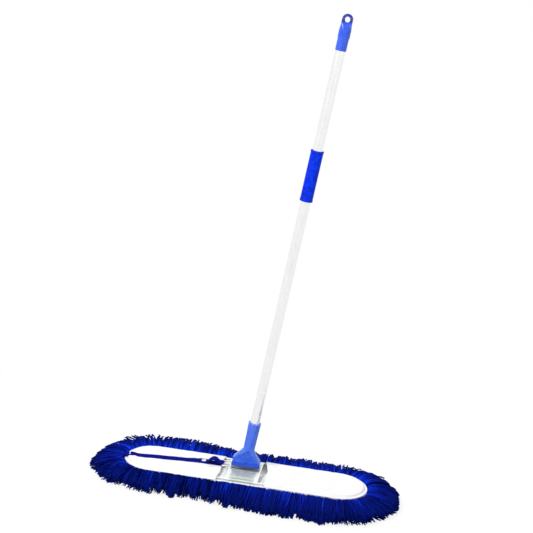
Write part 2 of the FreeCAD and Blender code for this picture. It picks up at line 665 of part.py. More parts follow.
# Swivel block
def swivel_block():
    """Trough-shaped block: a core for the tilt pin between two aprons, and a tongue for the lean pin."""
    body = new_body("swivel_block")
    base = new_sketch(body, "YZ_Plane")
    rectangle(base, "-block_depth / 2", "block_depth / 2", "-block_below", "block_above")
    pad(body, base, "block_length", symmetric=True)
    grooves = new_sketch(body, "YZ_Plane")
    for side in (1, -1):
        low, high = f"{side} * {CORE_HALF}", f"{side} * {GROOVE_OUTSIDE}"
        left, right = (low, high) if side > 0 else (high, low)
        rectangle(grooves, left, right, "-block_floor", "block_above + block_below")
    cut(body, grooves)
    tongue = new_sketch(body, "XZ_Plane")
    outline(tongue, [("-tongue_radius", "0"), ("tongue_radius", "0"), ("tongue_radius", "lean_rise"),
                     ("0", "lean_rise + tongue_radius"), ("-tongue_radius", "lean_rise")],
            {2: ("tongue_radius", 1), 3: ("tongue_radius", 1)})
    pad(body, tongue, f"2 * {CORE_HALF}", symmetric=True)
    tilt_bore = new_sketch(body, "YZ_Plane")
    disc(tilt_bore, ("0", "0"), "hinge_pin_diameter / 2 + running_gap")
    cut(body, tilt_bore)
    lean_bore = new_sketch(body, "XZ_Plane")
    disc(lean_bore, ("0", "lean_rise"), "lean_pin_diameter / 2 + running_gap")
    cut(body, lean_bore)
    low = -number("block_below")
    bevel_edges(body, "block_chamfer", lambda edge: runs_along(edge, "x") and middle(edge).z < low + NEARLY)
    place_on_tilt_axis(body)


def lean_pin():
    """Pin through the socket's skirts and the block's tongue, domed head in front."""
    body = new_body("lean_pin")
    radius = "lean_pin_diameter / 2"
    seat = f"({SKIRT_OUTSIDE} + side_gap)"
    tail = f"({seat} + 2 * clip_thickness)"
    places = [("0", f"-{tail}"), (radius, f"-{tail}"), (radius, seat), ("lean_pin_head / 2", seat),
              ("lean_head_flat / 2", f"{seat} + lean_head_height"), ("0", f"{seat} + lean_head_height")]
    turn(body, places, {3: ("lean_head_curve", 1)})
    place_across_pole(body)


def lean_clip():
    body = new_body("lean_clip")
    start = f"-({SKIRT_OUTSIDE} + side_gap + clip_thickness)"
    ring = new_sketch(body, "XY_Plane", start)
    disc(ring, ("0", "0"), "lean_pin_head / 2")
    disc(ring, ("0", "0"), "lean_pin_diameter / 2 + running_gap")
    pad(body, ring, "clip_thickness")
    place_across_pole(body)


def place_across_pole(body):
    """Origin on the lean axis, Z towards the user."""
    lean = FreeCAD.Rotation(FreeCAD.Vector(1, 0, 0), 90)
    body.Placement = FreeCAD.Placement(FreeCAD.Vector(0, 0, number(LEAN_HEIGHT)), lean)
    body.setExpression("Placement.Base.z", bind(LEAN_HEIGHT))


# Handle socket
FLARE_SECTIONS = [
    # half width, half depth, corner, height
    ("shoulder_half_length", SKIRT_OUTSIDE, "skirt", "shoulder_top"),
    ("low_half_width", f"({SKIRT_OUTSIDE} + low_bulge)", "low_corner", "(shoulder_top + low_rise)"),
    ("high_half_width", f"({SKIRT_OUTSIDE} + high_bulge)", "high_corner", "(flare_top - high_drop)"),
    ("(socket_foot / 2)", "(socket_foot / 2)", "(socket_foot / 2 - short_flat)", "flare_top"),
]


def handle_socket():
    """Moulded socket: skirts over the block, a flare with sunk ribbed panels, a round tube seat."""
    body = new_body("handle_socket")
    shoulders = new_sketch(body, "XY_Plane", "shoulder_bottom")
    round_rectangle(shoulders, "shoulder_half_length", SKIRT_OUTSIDE, "skirt")
    pad(body, shoulders, "shoulder_top - shoulder_bottom")
    sections = []
    for half_width, half_depth, corner, height in FLARE_SECTIONS:
        section = new_sketch(body, "XY_Plane", height)
        round_rectangle(section, half_width, half_depth, corner)
        sections.append(section)
    loft(body, sections)
    turn(body, [("0", "flare_top"), ("socket_foot / 2", "flare_top"), ("socket_diameter / 2", "socket_top"),
                ("0", "socket_top")])
    skirts = new_sketch(body, "YZ_Plane")
    for side in (1, -1):
        low, high = f"{side} * {SKIRT_INSIDE}", f"{side} * {SKIRT_OUTSIDE}"
        left, right = (low, high) if side > 0 else (high, low)
        rectangle(skirts, left, right, "-skirt_depth", "shoulder_top")
    pad(body, skirts, "2 * skirt_half_length", symmetric=True)
    tongue_room = new_sketch(body, "XZ_Plane")
    room = "(tongue_radius + skirt)"
    outline(tongue_room, [(f"-{room}", "0"), (room, "0"), ("0", room)], {1: (room, 1), 2: (room, 1)})
    cut(body, tongue_room, f"2 * {SKIRT_INSIDE}", symmetric=True)
    pin_bore = new_sketch(body, "XZ_Plane")
    disc(pin_bore, ("0", "0"), "lean_pin_diameter / 2 + running_gap")
    cut(body, pin_bore)
    tube_seat = new_sketch(body, "XY_Plane", "socket_top")
    disc(tube_seat, ("0", "0"), "tube_diameter / 2 + slip_gap")
    cut(body, tube_seat, "socket_top - tube_seat")
    sink_panels(body)
    screw_hole = new_sketch(body, "XZ_Plane")
    disc(screw_hole, ("0", "socket_screw_rise"), "screw_diameter / 2 + running_gap")
    cut(body, screw_hole, "socket_diameter")
    place_on_pole(body)


def sink_panels(body):
    """Triangular panels on both faces of the flare, deepest at the top, with low ribs."""
    floor = f"({SKIRT_OUTSIDE} - panel_depth)"
    base_half = "(skirt_half_length - 2 * skirt)"
    for side in (1, -1):
        panel = new_sketch(body, "XZ_Plane", f"{side} * {floor}")
        outline(panel, [(f"-{base_half}", "-skirt_depth + skirt"), (base_half, "-skirt_depth + skirt"),
                        (base_half, "shoulder_top / 2"), ("lean_pin_diameter", "flare_top - skirt"),
                        ("-lean_pin_diameter", "flare_top - skirt"), (f"-{base_half}", "shoulder_top / 2")],
                {2: ("panel_side_curve", -1), 4: ("panel_side_curve", -1)})
        cut(body, panel, "socket_diameter", reverse=side > 0)
        for step in range(int(number("panel_ribs"))):
            rib = new_sketch(body, "XZ_Plane", f"{side} * {floor}")
            inner = f"(shoulder_top + {step + 1} * 2 * skirt)"
            outer = f"({inner} + panel_rib)"
            half = f"(tongue_radius - {step} * panel_rib)"
            low, high = [f"sqrt({radius} ^ 2 - {half} ^ 2)" for radius in (inner, outer)]
            outline(rib, [(f"-{half}", low), (half, low), (half, high), (f"-{half}", high)],
                    {0: (inner, -1), 2: (outer, 1)})
            pad(body, rib, "panel_rib", reverse=side < 0)
        notch = new_sketch(body, "XZ_Plane", f"{side} * {floor}")
        top = "(flare_top - skirt)"
        rectangle(notch, "-panel_notch / 2", "panel_notch / 2", f"{top} - panel_notch_length", top)
        cut(body, notch, "panel_depth + panel_rib", reverse=side < 0)


def socket_screw():
    """Screw with two crossed slots in its head, seated where the socket is that thick."""
    share = "((socket_screw_rise - flare_top) / (socket_top - flare_top))"
    surface = f"(socket_foot / 2 + (socket_diameter - socket_foot) / 2 * {share} + side_gap)"
    body = cross_fastener("socket_screw", surface, "socket_screw_rise")
    for half_width, half_height in (("screw_slot", "screw_slot_length"), ("screw_slot_length", "screw_slot")):
        slot = new_sketch(body, "XZ_Plane", f"-({surface} + side_gap + screw_head_height)")
        rectangle(slot, f"-{half_width} / 2", f"{half_width} / 2", f"socket_screw_rise - {half_height} / 2",
                  f"socket_screw_rise + {half_height} / 2")
        cut(body, slot, "screw_head_height / 2", reverse=True)


def cap_rivet():
    cross_fastener("cap_rivet", "cap_skirt_diameter / 2", "cap_start + cap_rivet_rise")


def cross_fastener(label, surface, rise):
    """Domed head on the back of the pole, shank through the outer wall and the tube."""
    body = new_body(label)
    radius = "screw_diameter / 2"
    head = "(screw_head / 2)"
    seat = f"({surface} + side_gap)"
    section = new_sketch(body, "YZ_Plane")
    outline(section, [(f"{seat} - screw_reach", f"{rise}"), (f"{seat} - screw_reach", f"{rise} + {radius}"),
                      (seat, f"{rise} + {radius}"), (seat, f"{rise} + {head}"),
                      (f"{seat} + screw_head_height", f"{rise} + {radius}"),
                      (f"{seat} + screw_head_height", f"{rise}")],
            {3: ("screw_head_curve", -1)})
    feature = add_feature(body, "PartDesign::Revolution", section)
    feature.ReferenceAxis = (section, ["Edge6"])
    feature.Angle = 360
    place_on_pole(body)
    return body


# Pole
def pole_tube():
    body = new_body("pole_tube")
    inner = "(tube_diameter / 2 - tube_wall)"
    top = "(cap_start + tube_overlap)"
    turn(body, [(inner, "tube_seat"), ("tube_diameter / 2", "tube_seat"), ("tube_diameter / 2", top), (inner, top)])
    holes = new_sketch(body, "XZ_Plane")
    disc(holes, ("0", "socket_screw_rise"), "screw_diameter / 2 + running_gap")
    disc(holes, ("0", "cap_start + cap_rivet_rise"), "screw_diameter / 2 + running_gap")
    cut(body, holes, "tube_diameter")
    place_on_pole(body)


def hand_grip():
    """Soft sleeve with a low lip at each end."""
    body = new_body("hand_grip")
    bore = "(tube_diameter / 2 + slip_gap)"
    wall = "(grip_diameter / 2)"
    lip = f"({wall} + grip_lip)"
    end = "(grip_start + grip_length)"
    turn(body, [(bore, "grip_start"), (wall, "grip_start"), (lip, "grip_start + grip_lip"),
                (lip, "grip_start + grip_lip_length - grip_lip"), (wall, "grip_start + grip_lip_length"),
                (wall, f"{end} - grip_lip_length"), (lip, f"{end} - grip_lip_length + grip_lip"),
                (lip, f"{end} - grip_lip"), (wall, end), (bore, end)])
    place_on_pole(body)


def hanging_cap():
    """Cap over the tube's end: skirt, wider shoulder, a neck that flattens into the hanging eye."""
    body = new_body("hanging_cap")
    skirt = "(cap_skirt_diameter / 2)"
    shoulder = "(cap_diameter / 2)"
    step = f"({shoulder} - {skirt})"
    turn(body, [("0", "cap_start"), (skirt, "cap_start"), (skirt, CAP_SHOULDER),
                (shoulder, f"{CAP_SHOULDER} + 2 * {step}"), (shoulder, CAP_ROUND_TOP), ("0", CAP_ROUND_TOP)])
    tab_half = "(eye_tab_width / 2)"
    tab_depth = "(eye_tab_thickness / 2)"
    sections = []
    for half_width, half_depth, corner, height in (
            (shoulder, shoulder, f"({shoulder} - short_flat)", CAP_ROUND_TOP),
            (f"(({shoulder} + {tab_half}) / 2 - cap_neck_waist)", f"(({shoulder} + {tab_depth}) / 2)",
             f"(({shoulder} + {tab_depth}) / 2 - short_flat)", f"({CAP_ROUND_TOP} + cap_neck_length / 2)"),
            (tab_half, tab_depth, "eye_tab_corner", CAP_NECK_TOP)):
        section = new_sketch(body, "XY_Plane", height)
        round_rectangle(section, half_width, half_depth, corner)
        sections.append(section)
    loft(body, sections)
    tab = new_sketch(body, "XZ_Plane")
    top = f"({EYE_MIDDLE} + eye_length / 2 - eye_width / 2)"
    foot = f"{CAP_NECK_TOP} - eye_tab_root"
    outline(tab, [(f"-{tab_half}", foot), (tab_half, foot), (tab_half, top),
                  ("0", f"{top} + {tab_half}"), (f"-{tab_half}", top)],
            {2: (tab_half, 1), 3: (tab_half, 1)})
    pad(body, tab, "eye_tab_thickness", symmetric=True)
    eye = new_sketch(body, "XZ_Plane")
    half = "(eye_width / 2)"
    straight = "((eye_length - eye_width) / 2)"
    outline(eye, [(f"-{half}", f"{EYE_MIDDLE} - {straight}"), ("0", f"{EYE_MIDDLE} - {straight} - {half}"),
                  (half, f"{EYE_MIDDLE} - {straight}"), (half, f"{EYE_MIDDLE} + {straight}"),
                  ("0", f"{EYE_MIDDLE} + {straight} + {half}"), (f"-{half}", f"{EYE_MIDDLE} + {straight}")],
            {0: (half, 1), 1: (half, 1), 3: (half, 1), 4: (half, 1)})
    cut(body, eye)
    tube_room = new_sketch(body, "XY_Plane", "cap_start")
    disc(tube_room, ("0", "0"), "tube_diameter / 2 + slip_gap")
    cut(body, tube_room, "tube_overlap + side_gap", reverse=True)
    hole = new_sketch(body, "XZ_Plane")
    disc(hole, ("0", "cap_start + cap_rivet_rise"), "screw_diameter / 2 + running_gap")
    cut(body, hole, "cap_diameter")
    place_on_pole(body)


def build():
    yarn_fringe()
    yarn_pile()
    backing_cloth()
    pocket("pocket_left", -1)
    pocket("pocket_right", 1)
    wire_frame()
    centre_bracket()
    hinge_pin()
    hinge_clip()
    hinge_washers()
    strap_ring()
    keeper_strap()
    stud_cap()
    stud_post()
    swivel_block()
    lean_pin()
    lean_clip()
    handle_socket()
    socket_screw()
    pole_tube()
    hand_grip()
    hanging_cap()
    cap_rivet()
    doc.recompute()


def export():
    for item in doc.Objects:
        if "Invalid" in item.State or "Error" in item.State:
            raise ValueError(f"{item.Label} did not build")
    bodies = [item for item in doc.Objects if item.TypeId == "PartDesign::Body"]
    for body in bodies:
        if body.Shape.isNull() or not body.Shape.isValid():
            raise ValueError(f"{body.Label} has no valid shape")
    os.makedirs("parts", exist_ok=True)
    for body in bodies:
        body.Shape.exportStep(f"parts/{body.Label}.step")
        box = body.Shape.BoundBox
        print(f"{body.Label:16s} {len(body.Shape.Solids)} solid(s) {body.Shape.Volume / 1000:9.2f} cm3",
              f"x {box.XMin:7.1f} {box.XMax:7.1f} y {box.YMin:7.1f} {box.YMax:7.1f}",
              f"z {box.ZMin:7.1f} {box.ZMax:7.1f}")


build()
export()
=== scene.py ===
import bpy
import bmesh
import json
import math
import numpy as np
from mathutils import Vector, Matrix, noise


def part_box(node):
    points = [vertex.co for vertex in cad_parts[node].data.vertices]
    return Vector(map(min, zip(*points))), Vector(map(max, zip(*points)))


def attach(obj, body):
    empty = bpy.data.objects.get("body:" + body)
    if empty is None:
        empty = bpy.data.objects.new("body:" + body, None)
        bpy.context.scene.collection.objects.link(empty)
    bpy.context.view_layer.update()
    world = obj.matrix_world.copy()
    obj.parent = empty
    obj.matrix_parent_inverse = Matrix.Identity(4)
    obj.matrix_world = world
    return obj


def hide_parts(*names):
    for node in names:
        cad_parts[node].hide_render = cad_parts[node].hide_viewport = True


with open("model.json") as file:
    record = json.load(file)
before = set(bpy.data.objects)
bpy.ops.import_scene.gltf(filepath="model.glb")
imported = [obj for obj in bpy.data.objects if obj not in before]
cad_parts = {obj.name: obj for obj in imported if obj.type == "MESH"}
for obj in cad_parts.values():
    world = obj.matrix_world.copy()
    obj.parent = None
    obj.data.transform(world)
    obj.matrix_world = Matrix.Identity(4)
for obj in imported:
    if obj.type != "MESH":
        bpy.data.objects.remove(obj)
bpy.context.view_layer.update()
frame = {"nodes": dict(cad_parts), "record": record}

POLE_LEAN = math.radians(7)
SEED = 11


# Places taken from the CAD nodes
def top_of(node):
    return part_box(node)[1].z


backing_low, backing_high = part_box("backing_cloth")
RIM_REACH = backing_high.x
RIM_RADIUS = backing_high.y
RIM_STRAIGHT = RIM_REACH - RIM_RADIUS
BACKING_TOP = backing_high.z
BACKING_UNDER = backing_low.z
POCKET_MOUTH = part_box("pocket_right")[0].x
WIRE_TOP = top_of("wire_frame")
PERIMETER = 4 * RIM_STRAIGHT + 2 * math.pi * RIM_RADIUS


# Shader building
def node(tree, kind, inputs=None, **settings):
    item = tree.nodes.new(kind)
    for key, value in settings.items():
        setattr(item, key, value)
    for key, value in (inputs or {}).items():
        if isinstance(value, bpy.types.NodeSocket):
            tree.links.new(value, item.inputs[key])
        else:
            item.inputs[key].default_value = value
    return item


def maths(tree, operation, *values):
    item = node(tree, "ShaderNodeMath", operation=operation)
    for index, value in enumerate(values):
        if isinstance(value, bpy.types.NodeSocket):
            tree.links.new(value, item.inputs[index])
        else:
            item.inputs[index].default_value = value
    return item.outputs[0]


def ramp(tree, value, stops):
    """Colour ramp; stops are (place, colour)."""
    item = node(tree, "ShaderNodeValToRGB", {"Fac": value})
    band = item.color_ramp
    while len(band.elements) < len(stops):
        band.elements.new(0.5)
    for element, (place, colour) in zip(band.elements, stops):
        element.position = place
        element.color = (*colour, 1) if len(colour) == 3 else colour
    return item.outputs["Color"]


def grey(value):
    return (value, value, value)


def mix(tree, factor, first, second):
    item = node(tree, "ShaderNodeMix", data_type="RGBA")
    for socket, value in ((item.inputs[0], factor), (item.inputs[6], first), (item.inputs[7], second)):
        if isinstance(value, bpy.types.NodeSocket):
            tree.links.new(value, socket)
        elif isinstance(value, tuple):
            socket.default_value = (*value, 1) if len(value) == 3 else value
        else:
            socket.default_value = value
    return item.outputs[2]


def new_group(name, inputs, outputs):
    group = bpy.data.node_groups.new(name, "ShaderNodeTree")
    for label, kind, value in inputs:
        socket = group.interface.new_socket(label, in_out="INPUT", socket_type=kind)
        if value is not None:
            socket.default_value = value
    for label, kind in outputs:
        group.interface.new_socket(label, in_out="OUTPUT", socket_type=kind)
    start = group.nodes.new("NodeGroupInput").outputs
    end = group.nodes.new("NodeGroupOutput").inputs
    return group, start, end


def use_group(tree, group, inputs):
    item = tree.nodes.new("ShaderNodeGroup")
    item.node_tree = group
    for key, value in inputs.items():
        if isinstance(value, bpy.types.NodeSocket):
            tree.links.new(value, item.inputs[key])
        else:
            item.inputs[key].default_value = value
    return item.outputs


FLOAT = "NodeSocketFloat"
VECTOR = "NodeSocketVector"


def thread_weave_group():
    """Plain weave: warp over weft and weft over warp in turn."""
    group, start, end = new_group("thread weave", [("Place", VECTOR, None), ("Pitch", FLOAT, 0.001)],
                                  [("Height", FLOAT), ("Gap", FLOAT)])
    parts = node(group, "ShaderNodeSeparateXYZ", {"Vector": start["Place"]})
    waves = []
    for axis in ("X", "Y"):
        turn = maths(group, "MULTIPLY", maths(group, "DIVIDE", parts.outputs[axis], start["Pitch"]), math.pi)
        waves.append(maths(group, "SINE", turn))
    over = maths(group, "GREATER_THAN", maths(group, "MULTIPLY", *waves), 0.0)
    warp, weft = [maths(group, "ABSOLUTE", wave) for wave in waves]
    height = node(group, "ShaderNodeMix", {0: over, 2: weft, 3: warp}, data_type="FLOAT").outputs[0]
    group.links.new(height, end["Height"])
    group.links.new(maths(group, "LESS_THAN", height, 0.25), end["Gap"])
    return group


def yarn_twist_group():
    """Plies that wind round a strand; Around and Along come from the strand's own UV map."""
    group, start, end = new_group("yarn twist", [("Around", FLOAT, 0.0), ("Along", FLOAT, 0.0),
                                                 ("Plies", FLOAT, 3.0), ("Turns", FLOAT, 1.0)],
                                  [("Height", FLOAT), ("Groove", FLOAT)])
    turn = maths(group, "ADD", maths(group, "MULTIPLY", start["Around"], start["Plies"]),
                 maths(group, "MULTIPLY", start["Along"], start["Turns"]))
    wave = maths(group, "SINE", maths(group, "MULTIPLY", turn, 2 * math.pi))
    height = maths(group, "MULTIPLY_ADD", wave, 0.5, 0.5)
    group.links.new(height, end["Height"])
    group.links.new(maths(group, "LESS_THAN", height, 0.22), end["Groove"])
    return group


def grain_group():
    """Soft mottle in two sizes."""
    group, start, end = new_group("grain", [("Place", VECTOR, None), ("Coarse", FLOAT, 40.0),
                                            ("Fine", FLOAT, 900.0)],
                                  [("Mottle", FLOAT), ("Height", FLOAT)])
    coarse = node(group, "ShaderNodeTexNoise", {"Vector": start["Place"], "Scale": start["Coarse"], "Detail": 4.0})
    fine = node(group, "ShaderNodeTexNoise", {"Vector": start["Place"], "Scale": start["Fine"], "Detail": 2.0})
    group.links.new(coarse.outputs["Fac"], end["Mottle"])
    group.links.new(fine.outputs["Fac"], end["Height"])
    return group


def scuff_group():
    """Fine scratches: narrow bands of stretched noise, crossing, only where a wide noise is high."""
    group, start, end = new_group("scuffs", [("Place", VECTOR, None), ("Scale", FLOAT, 60.0),
                                             ("Cover", FLOAT, 0.5)],
                                  [("Scratch", FLOAT), ("Rub", FLOAT)])
    lines = []
    for turn in (0.5, -0.8):
        turned = node(group, "ShaderNodeMapping", {"Vector": start["Place"], "Scale": (1.0, 14.0, 1.6),
                                                   "Rotation": (turn, turn * 1.3, turn)})
        band = node(group, "ShaderNodeTexNoise", {"Vector": turned.outputs[0], "Scale": start["Scale"],
                                                  "Detail": 2.0})
        middle = maths(group, "ABSOLUTE", maths(group, "SUBTRACT", band.outputs["Fac"], 0.5))
        lines.append(maths(group, "LESS_THAN", middle, 0.006))
    wide = node(group, "ShaderNodeTexNoise", {"Vector": start["Place"], "Scale": 22.0, "Detail": 3.0})
    rub = maths(group, "GREATER_THAN", wide.outputs["Fac"], maths(group, "SUBTRACT", 1.0, start["Cover"]))
    either = maths(group, "MAXIMUM", *lines)
    group.links.new(maths(group, "MULTIPLY", either, rub), end["Scratch"])
    group.links.new(wide.outputs["Fac"], end["Rub"])
    return group


WEAVE = thread_weave_group()
TWIST = yarn_twist_group()
GRAIN = grain_group()
SCUFF = scuff_group()


def new_material(name, **shader_values):
    material = bpy.data.materials.new(name)
    material.use_nodes = True
    tree = material.node_tree
    shader = tree.nodes["Principled BSDF"]
    for key, value in shader_values.items():
        shader.inputs[key.replace("_", " ")].default_value = value
    place = tree.nodes.new("ShaderNodeTexCoord").outputs["Object"]
    return material, tree, shader, place


def bump(tree, shader, height, distance, strength=1.0, normal=None):
    inputs = {"Height": height, "Distance": distance, "Strength": strength}
    if normal is not None:
        inputs["Normal"] = normal
    item = node(tree, "ShaderNodeBump", inputs)
    tree.links.new(item.outputs["Normal"], shader.inputs["Normal"])
    return item.outputs["Normal"]


def moulded_plastic(name, body, deep, worn, rough=0.3, dark_above=None):
    """Moulded plastic with flow marks, fine grain and light handling scratches; darker above a height if given."""
    material, tree, shader, place = new_material(name, IOR=1.49, Specular_IOR_Level=0.5)
    grain = use_group(tree, GRAIN, {"Place": place, "Coarse": 55.0, "Fine": 1400.0})
    scuff = use_group(tree, SCUFF, {"Place": place, "Scale": 45.0, "Cover": 0.52})
    shade = ramp(tree, grain["Mottle"], [(0.3, deep), (0.62, body)])
    if dark_above is not None:
        height = node(tree, "ShaderNodeSeparateXYZ", {"Vector": place}).outputs["Z"]
        above = maths(tree, "DIVIDE", maths(tree, "SUBTRACT", height, dark_above), 0.006)
        shade = mix(tree, ramp(tree, above, [(0.0, grey(0.0)), (1.0, grey(0.85))]), shade, (0.002, 0.006, 0.12))
    scratched = mix(tree, maths(tree, "MULTIPLY", scuff["Scratch"], 0.5), shade, worn)
    tree.links.new(scratched, shader.inputs["Base Color"])
    tree.links.new(maths(tree, "MULTIPLY_ADD", scuff["Rub"], 0.25, rough - 0.1), shader.inputs["Roughness"])
    bump(tree, shader, grain["Height"], 0.00006, 0.5)
    return material


def soft_grip():
    """Soft sleeve: dull, slightly mottled and pebbled."""
    material, tree, shader, place = new_material("soft blue grip", IOR=1.45, Specular_IOR_Level=0.1)
    grain = use_group(tree, GRAIN, {"Place": place, "Coarse": 120.0, "Fine": 700.0})
    cells = node(tree, "ShaderNodeTexVoronoi", {"Vector": place, "Scale": 900.0})
    shade = ramp(tree, grain["Mottle"], [(0.34, (0.0, 0.012, 0.42)), (0.64, (0.0, 0.032, 0.66))])
    tree.links.new(shade, shader.inputs["Base Color"])
    tree.links.new(maths(tree, "MULTIPLY_ADD", grain["Mottle"], 0.3, 0.5), shader.inputs["Roughness"])
    bump(tree, shader, cells.outputs["Distance"], 0.00012, 0.6)
    return material


def drawn_aluminium():
    """Anodised tube with fine lines along its length and faint handling marks."""
    material, tree, shader, place = new_material("pole aluminium", Metallic=1.0)
    along = node(tree, "ShaderNodeMapping", {"Vector": place, "Rotation": (0.0, -POLE_LEAN, 0.0),
                                             "Scale": (1500.0, 1500.0, 3.0)})
    lines = node(tree, "ShaderNodeTexNoise", {"Vector": along.outputs[0], "Scale": 1.0, "Detail": 3.0})
    scuff = use_group(tree, SCUFF, {"Place": place, "Scale": 30.0, "Cover": 0.5})
    shade = ramp(tree, lines.outputs["Fac"], [(0.35, grey(0.84)), (0.65, (0.95, 0.955, 0.96))])
    worn = mix(tree, maths(tree, "MULTIPLY", scuff["Scratch"], 0.35), shade, grey(0.6))
    tree.links.new(worn, shader.inputs["Base Color"])
    tree.links.new(maths(tree, "MULTIPLY_ADD", lines.outputs["Fac"], 0.2, 0.17), shader.inputs["Roughness"])
    bump(tree, shader, lines.outputs["Fac"], 0.00002, 0.5)
    return material


def galvanised_sheet():
    """Zinc coated steel: grey-green crystals, dull patches and scratches; lighter flanks and a darker, greener
    middle strip are painted light: painted shade and reflection under the socket.
    """
    material, tree, shader, place = new_material("galvanised steel", Metallic=0.45)
    crystals = node(tree, "ShaderNodeTexVoronoi", {"Vector": place, "Scale": 190.0, "Randomness": 1.0})
    tone = node(tree, "ShaderNodeSeparateColor", {"Color": crystals.outputs["Color"]})
    scuff = use_group(tree, SCUFF, {"Place": place, "Scale": 60.0, "Cover": 0.55})
    grain = use_group(tree, GRAIN, {"Place": place, "Coarse": 35.0, "Fine": 1200.0})
    # Painted light: the flanks take a lighter colour, the middle strip a darker, greener one as painted shade and
    # reflection under the socket.
    sideways = node(tree, "ShaderNodeSeparateXYZ", {"Vector": place}).outputs["X"]
    from_middle = maths(tree, "ABSOLUTE", maths(tree, "MULTIPLY", sideways, 10.0))
    middle = ramp(tree, from_middle, [(0.29, grey(1.0)), (0.33, grey(0.0))])
    bright = ramp(tree, tone.outputs[0], [(0.0, (0.62, 0.66, 0.64)), (1.0, (0.76, 0.79, 0.77))])
    shaded_middle_colour = ramp(tree, tone.outputs[0], [(0.0, (0.37, 0.42, 0.37)), (1.0, (0.51, 0.57, 0.51))])
    shade = mix(tree, middle, bright, shaded_middle_colour)
    dull = mix(tree, maths(tree, "MULTIPLY", grain["Mottle"], 0.35), shade, (0.5, 0.53, 0.5))
    worn = mix(tree, maths(tree, "MULTIPLY", scuff["Scratch"], 0.6), dull, grey(0.85))
    tree.links.new(worn, shader.inputs["Base Color"])
    rough = maths(tree, "MULTIPLY_ADD", tone.outputs[1], 0.12, 0.4)
    tree.links.new(maths(tree, "MULTIPLY_ADD", grain["Mottle"], 0.1, rough), shader.inputs["Roughness"])
    bump(tree, shader, grain["Height"], 0.00003, 0.4)
    return material


def bright_steel():
    """Nickel plated wire and small fittings with fine polishing lines."""
    material, tree, shader, place = new_material("bright steel", Metallic=1.0)
    grain = use_group(tree, GRAIN, {"Place": place, "Coarse": 160.0, "Fine": 2200.0})
    scuff = use_group(tree, SCUFF, {"Place": place, "Scale": 120.0, "Cover": 0.6})
    shade = ramp(tree, grain["Mottle"], [(0.3, grey(0.55)), (0.6, (0.74, 0.74, 0.76))])
    worn = mix(tree, maths(tree, "MULTIPLY", scuff["Scratch"], 0.5), shade, grey(0.4))
    tree.links.new(worn, shader.inputs["Base Color"])
    tree.links.new(maths(tree, "MULTIPLY_ADD", grain["Mottle"], 0.2, 0.12), shader.inputs["Roughness"])
    bump(tree, shader, grain["Height"], 0.00002, 0.4)
    return material


def woven_cloth(name, thread, gap, pitch, rough=0.85, stain=grey(0.7)):
    """Plain woven cloth; the weave runs along X and Y, and the gaps between threads are darkened towards the gap
    colour as painted shade.
    """
    material, tree, shader, place = new_material(name, Sheen_Weight=0.25, Sheen_Roughness=0.5)
    weave = use_group(tree, WEAVE, {"Place": place, "Pitch": pitch})
    grain = use_group(tree, GRAIN, {"Place": place, "Coarse": 14.0, "Fine": 1600.0})
    # Painted shade: the gaps between threads are darkened towards the gap colour.
    shade = mix(tree, maths(tree, "MULTIPLY", weave["Gap"], 0.55), thread, gap)
    soiled = mix(tree, ramp(tree, grain["Mottle"], [(0.42, grey(0.0)), (0.8, grey(0.35))]), shade, stain)
    tree.links.new(soiled, shader.inputs["Base Color"])
    tree.links.new(maths(tree, "MULTIPLY_ADD", grain["Height"], 0.15, rough - 0.1), shader.inputs["Roughness"])
    first = bump(tree, shader, weave["Height"], pitch * 0.22, 0.7)
    bump(tree, shader, grain["Height"], 0.00008, 0.4, first)
    return material


def strap_webbing():
    """Blue webbing: ribs across the strap, fine threads along it; the troughs between threads are painted darker
    than the ridges as painted shade, and random patches are paler with wear.
    """
    material, tree, shader, _ = new_material("blue webbing", Specular_IOR_Level=0.04)
    own = tree.nodes.new("ShaderNodeUVMap")
    own.uv_map = "UVMap"
    weave = use_group(tree, WEAVE, {"Place": own.outputs["UV"], "Pitch": 0.0011})
    grain = use_group(tree, GRAIN, {"Place": own.outputs["UV"], "Coarse": 60.0, "Fine": 1500.0})
    # Painted shade: the weave's low places take a much darker blue than its ridges.
    shade = ramp(tree, weave["Height"], [(0.15, (0.0, 0.001, 0.07)), (0.8, (0.0, 0.003, 0.24))])
    worn = mix(tree, ramp(tree, grain["Mottle"], [(0.5, grey(0.0)), (0.85, grey(0.4))]), shade, (0.005, 0.02, 0.3))
    tree.links.new(worn, shader.inputs["Base Color"])
    tree.links.new(maths(tree, "MULTIPLY_ADD", grain["Height"], 0.15, 0.7), shader.inputs["Roughness"])
    bump(tree, shader, weave["Height"], 0.0003, 0.8)
    return material


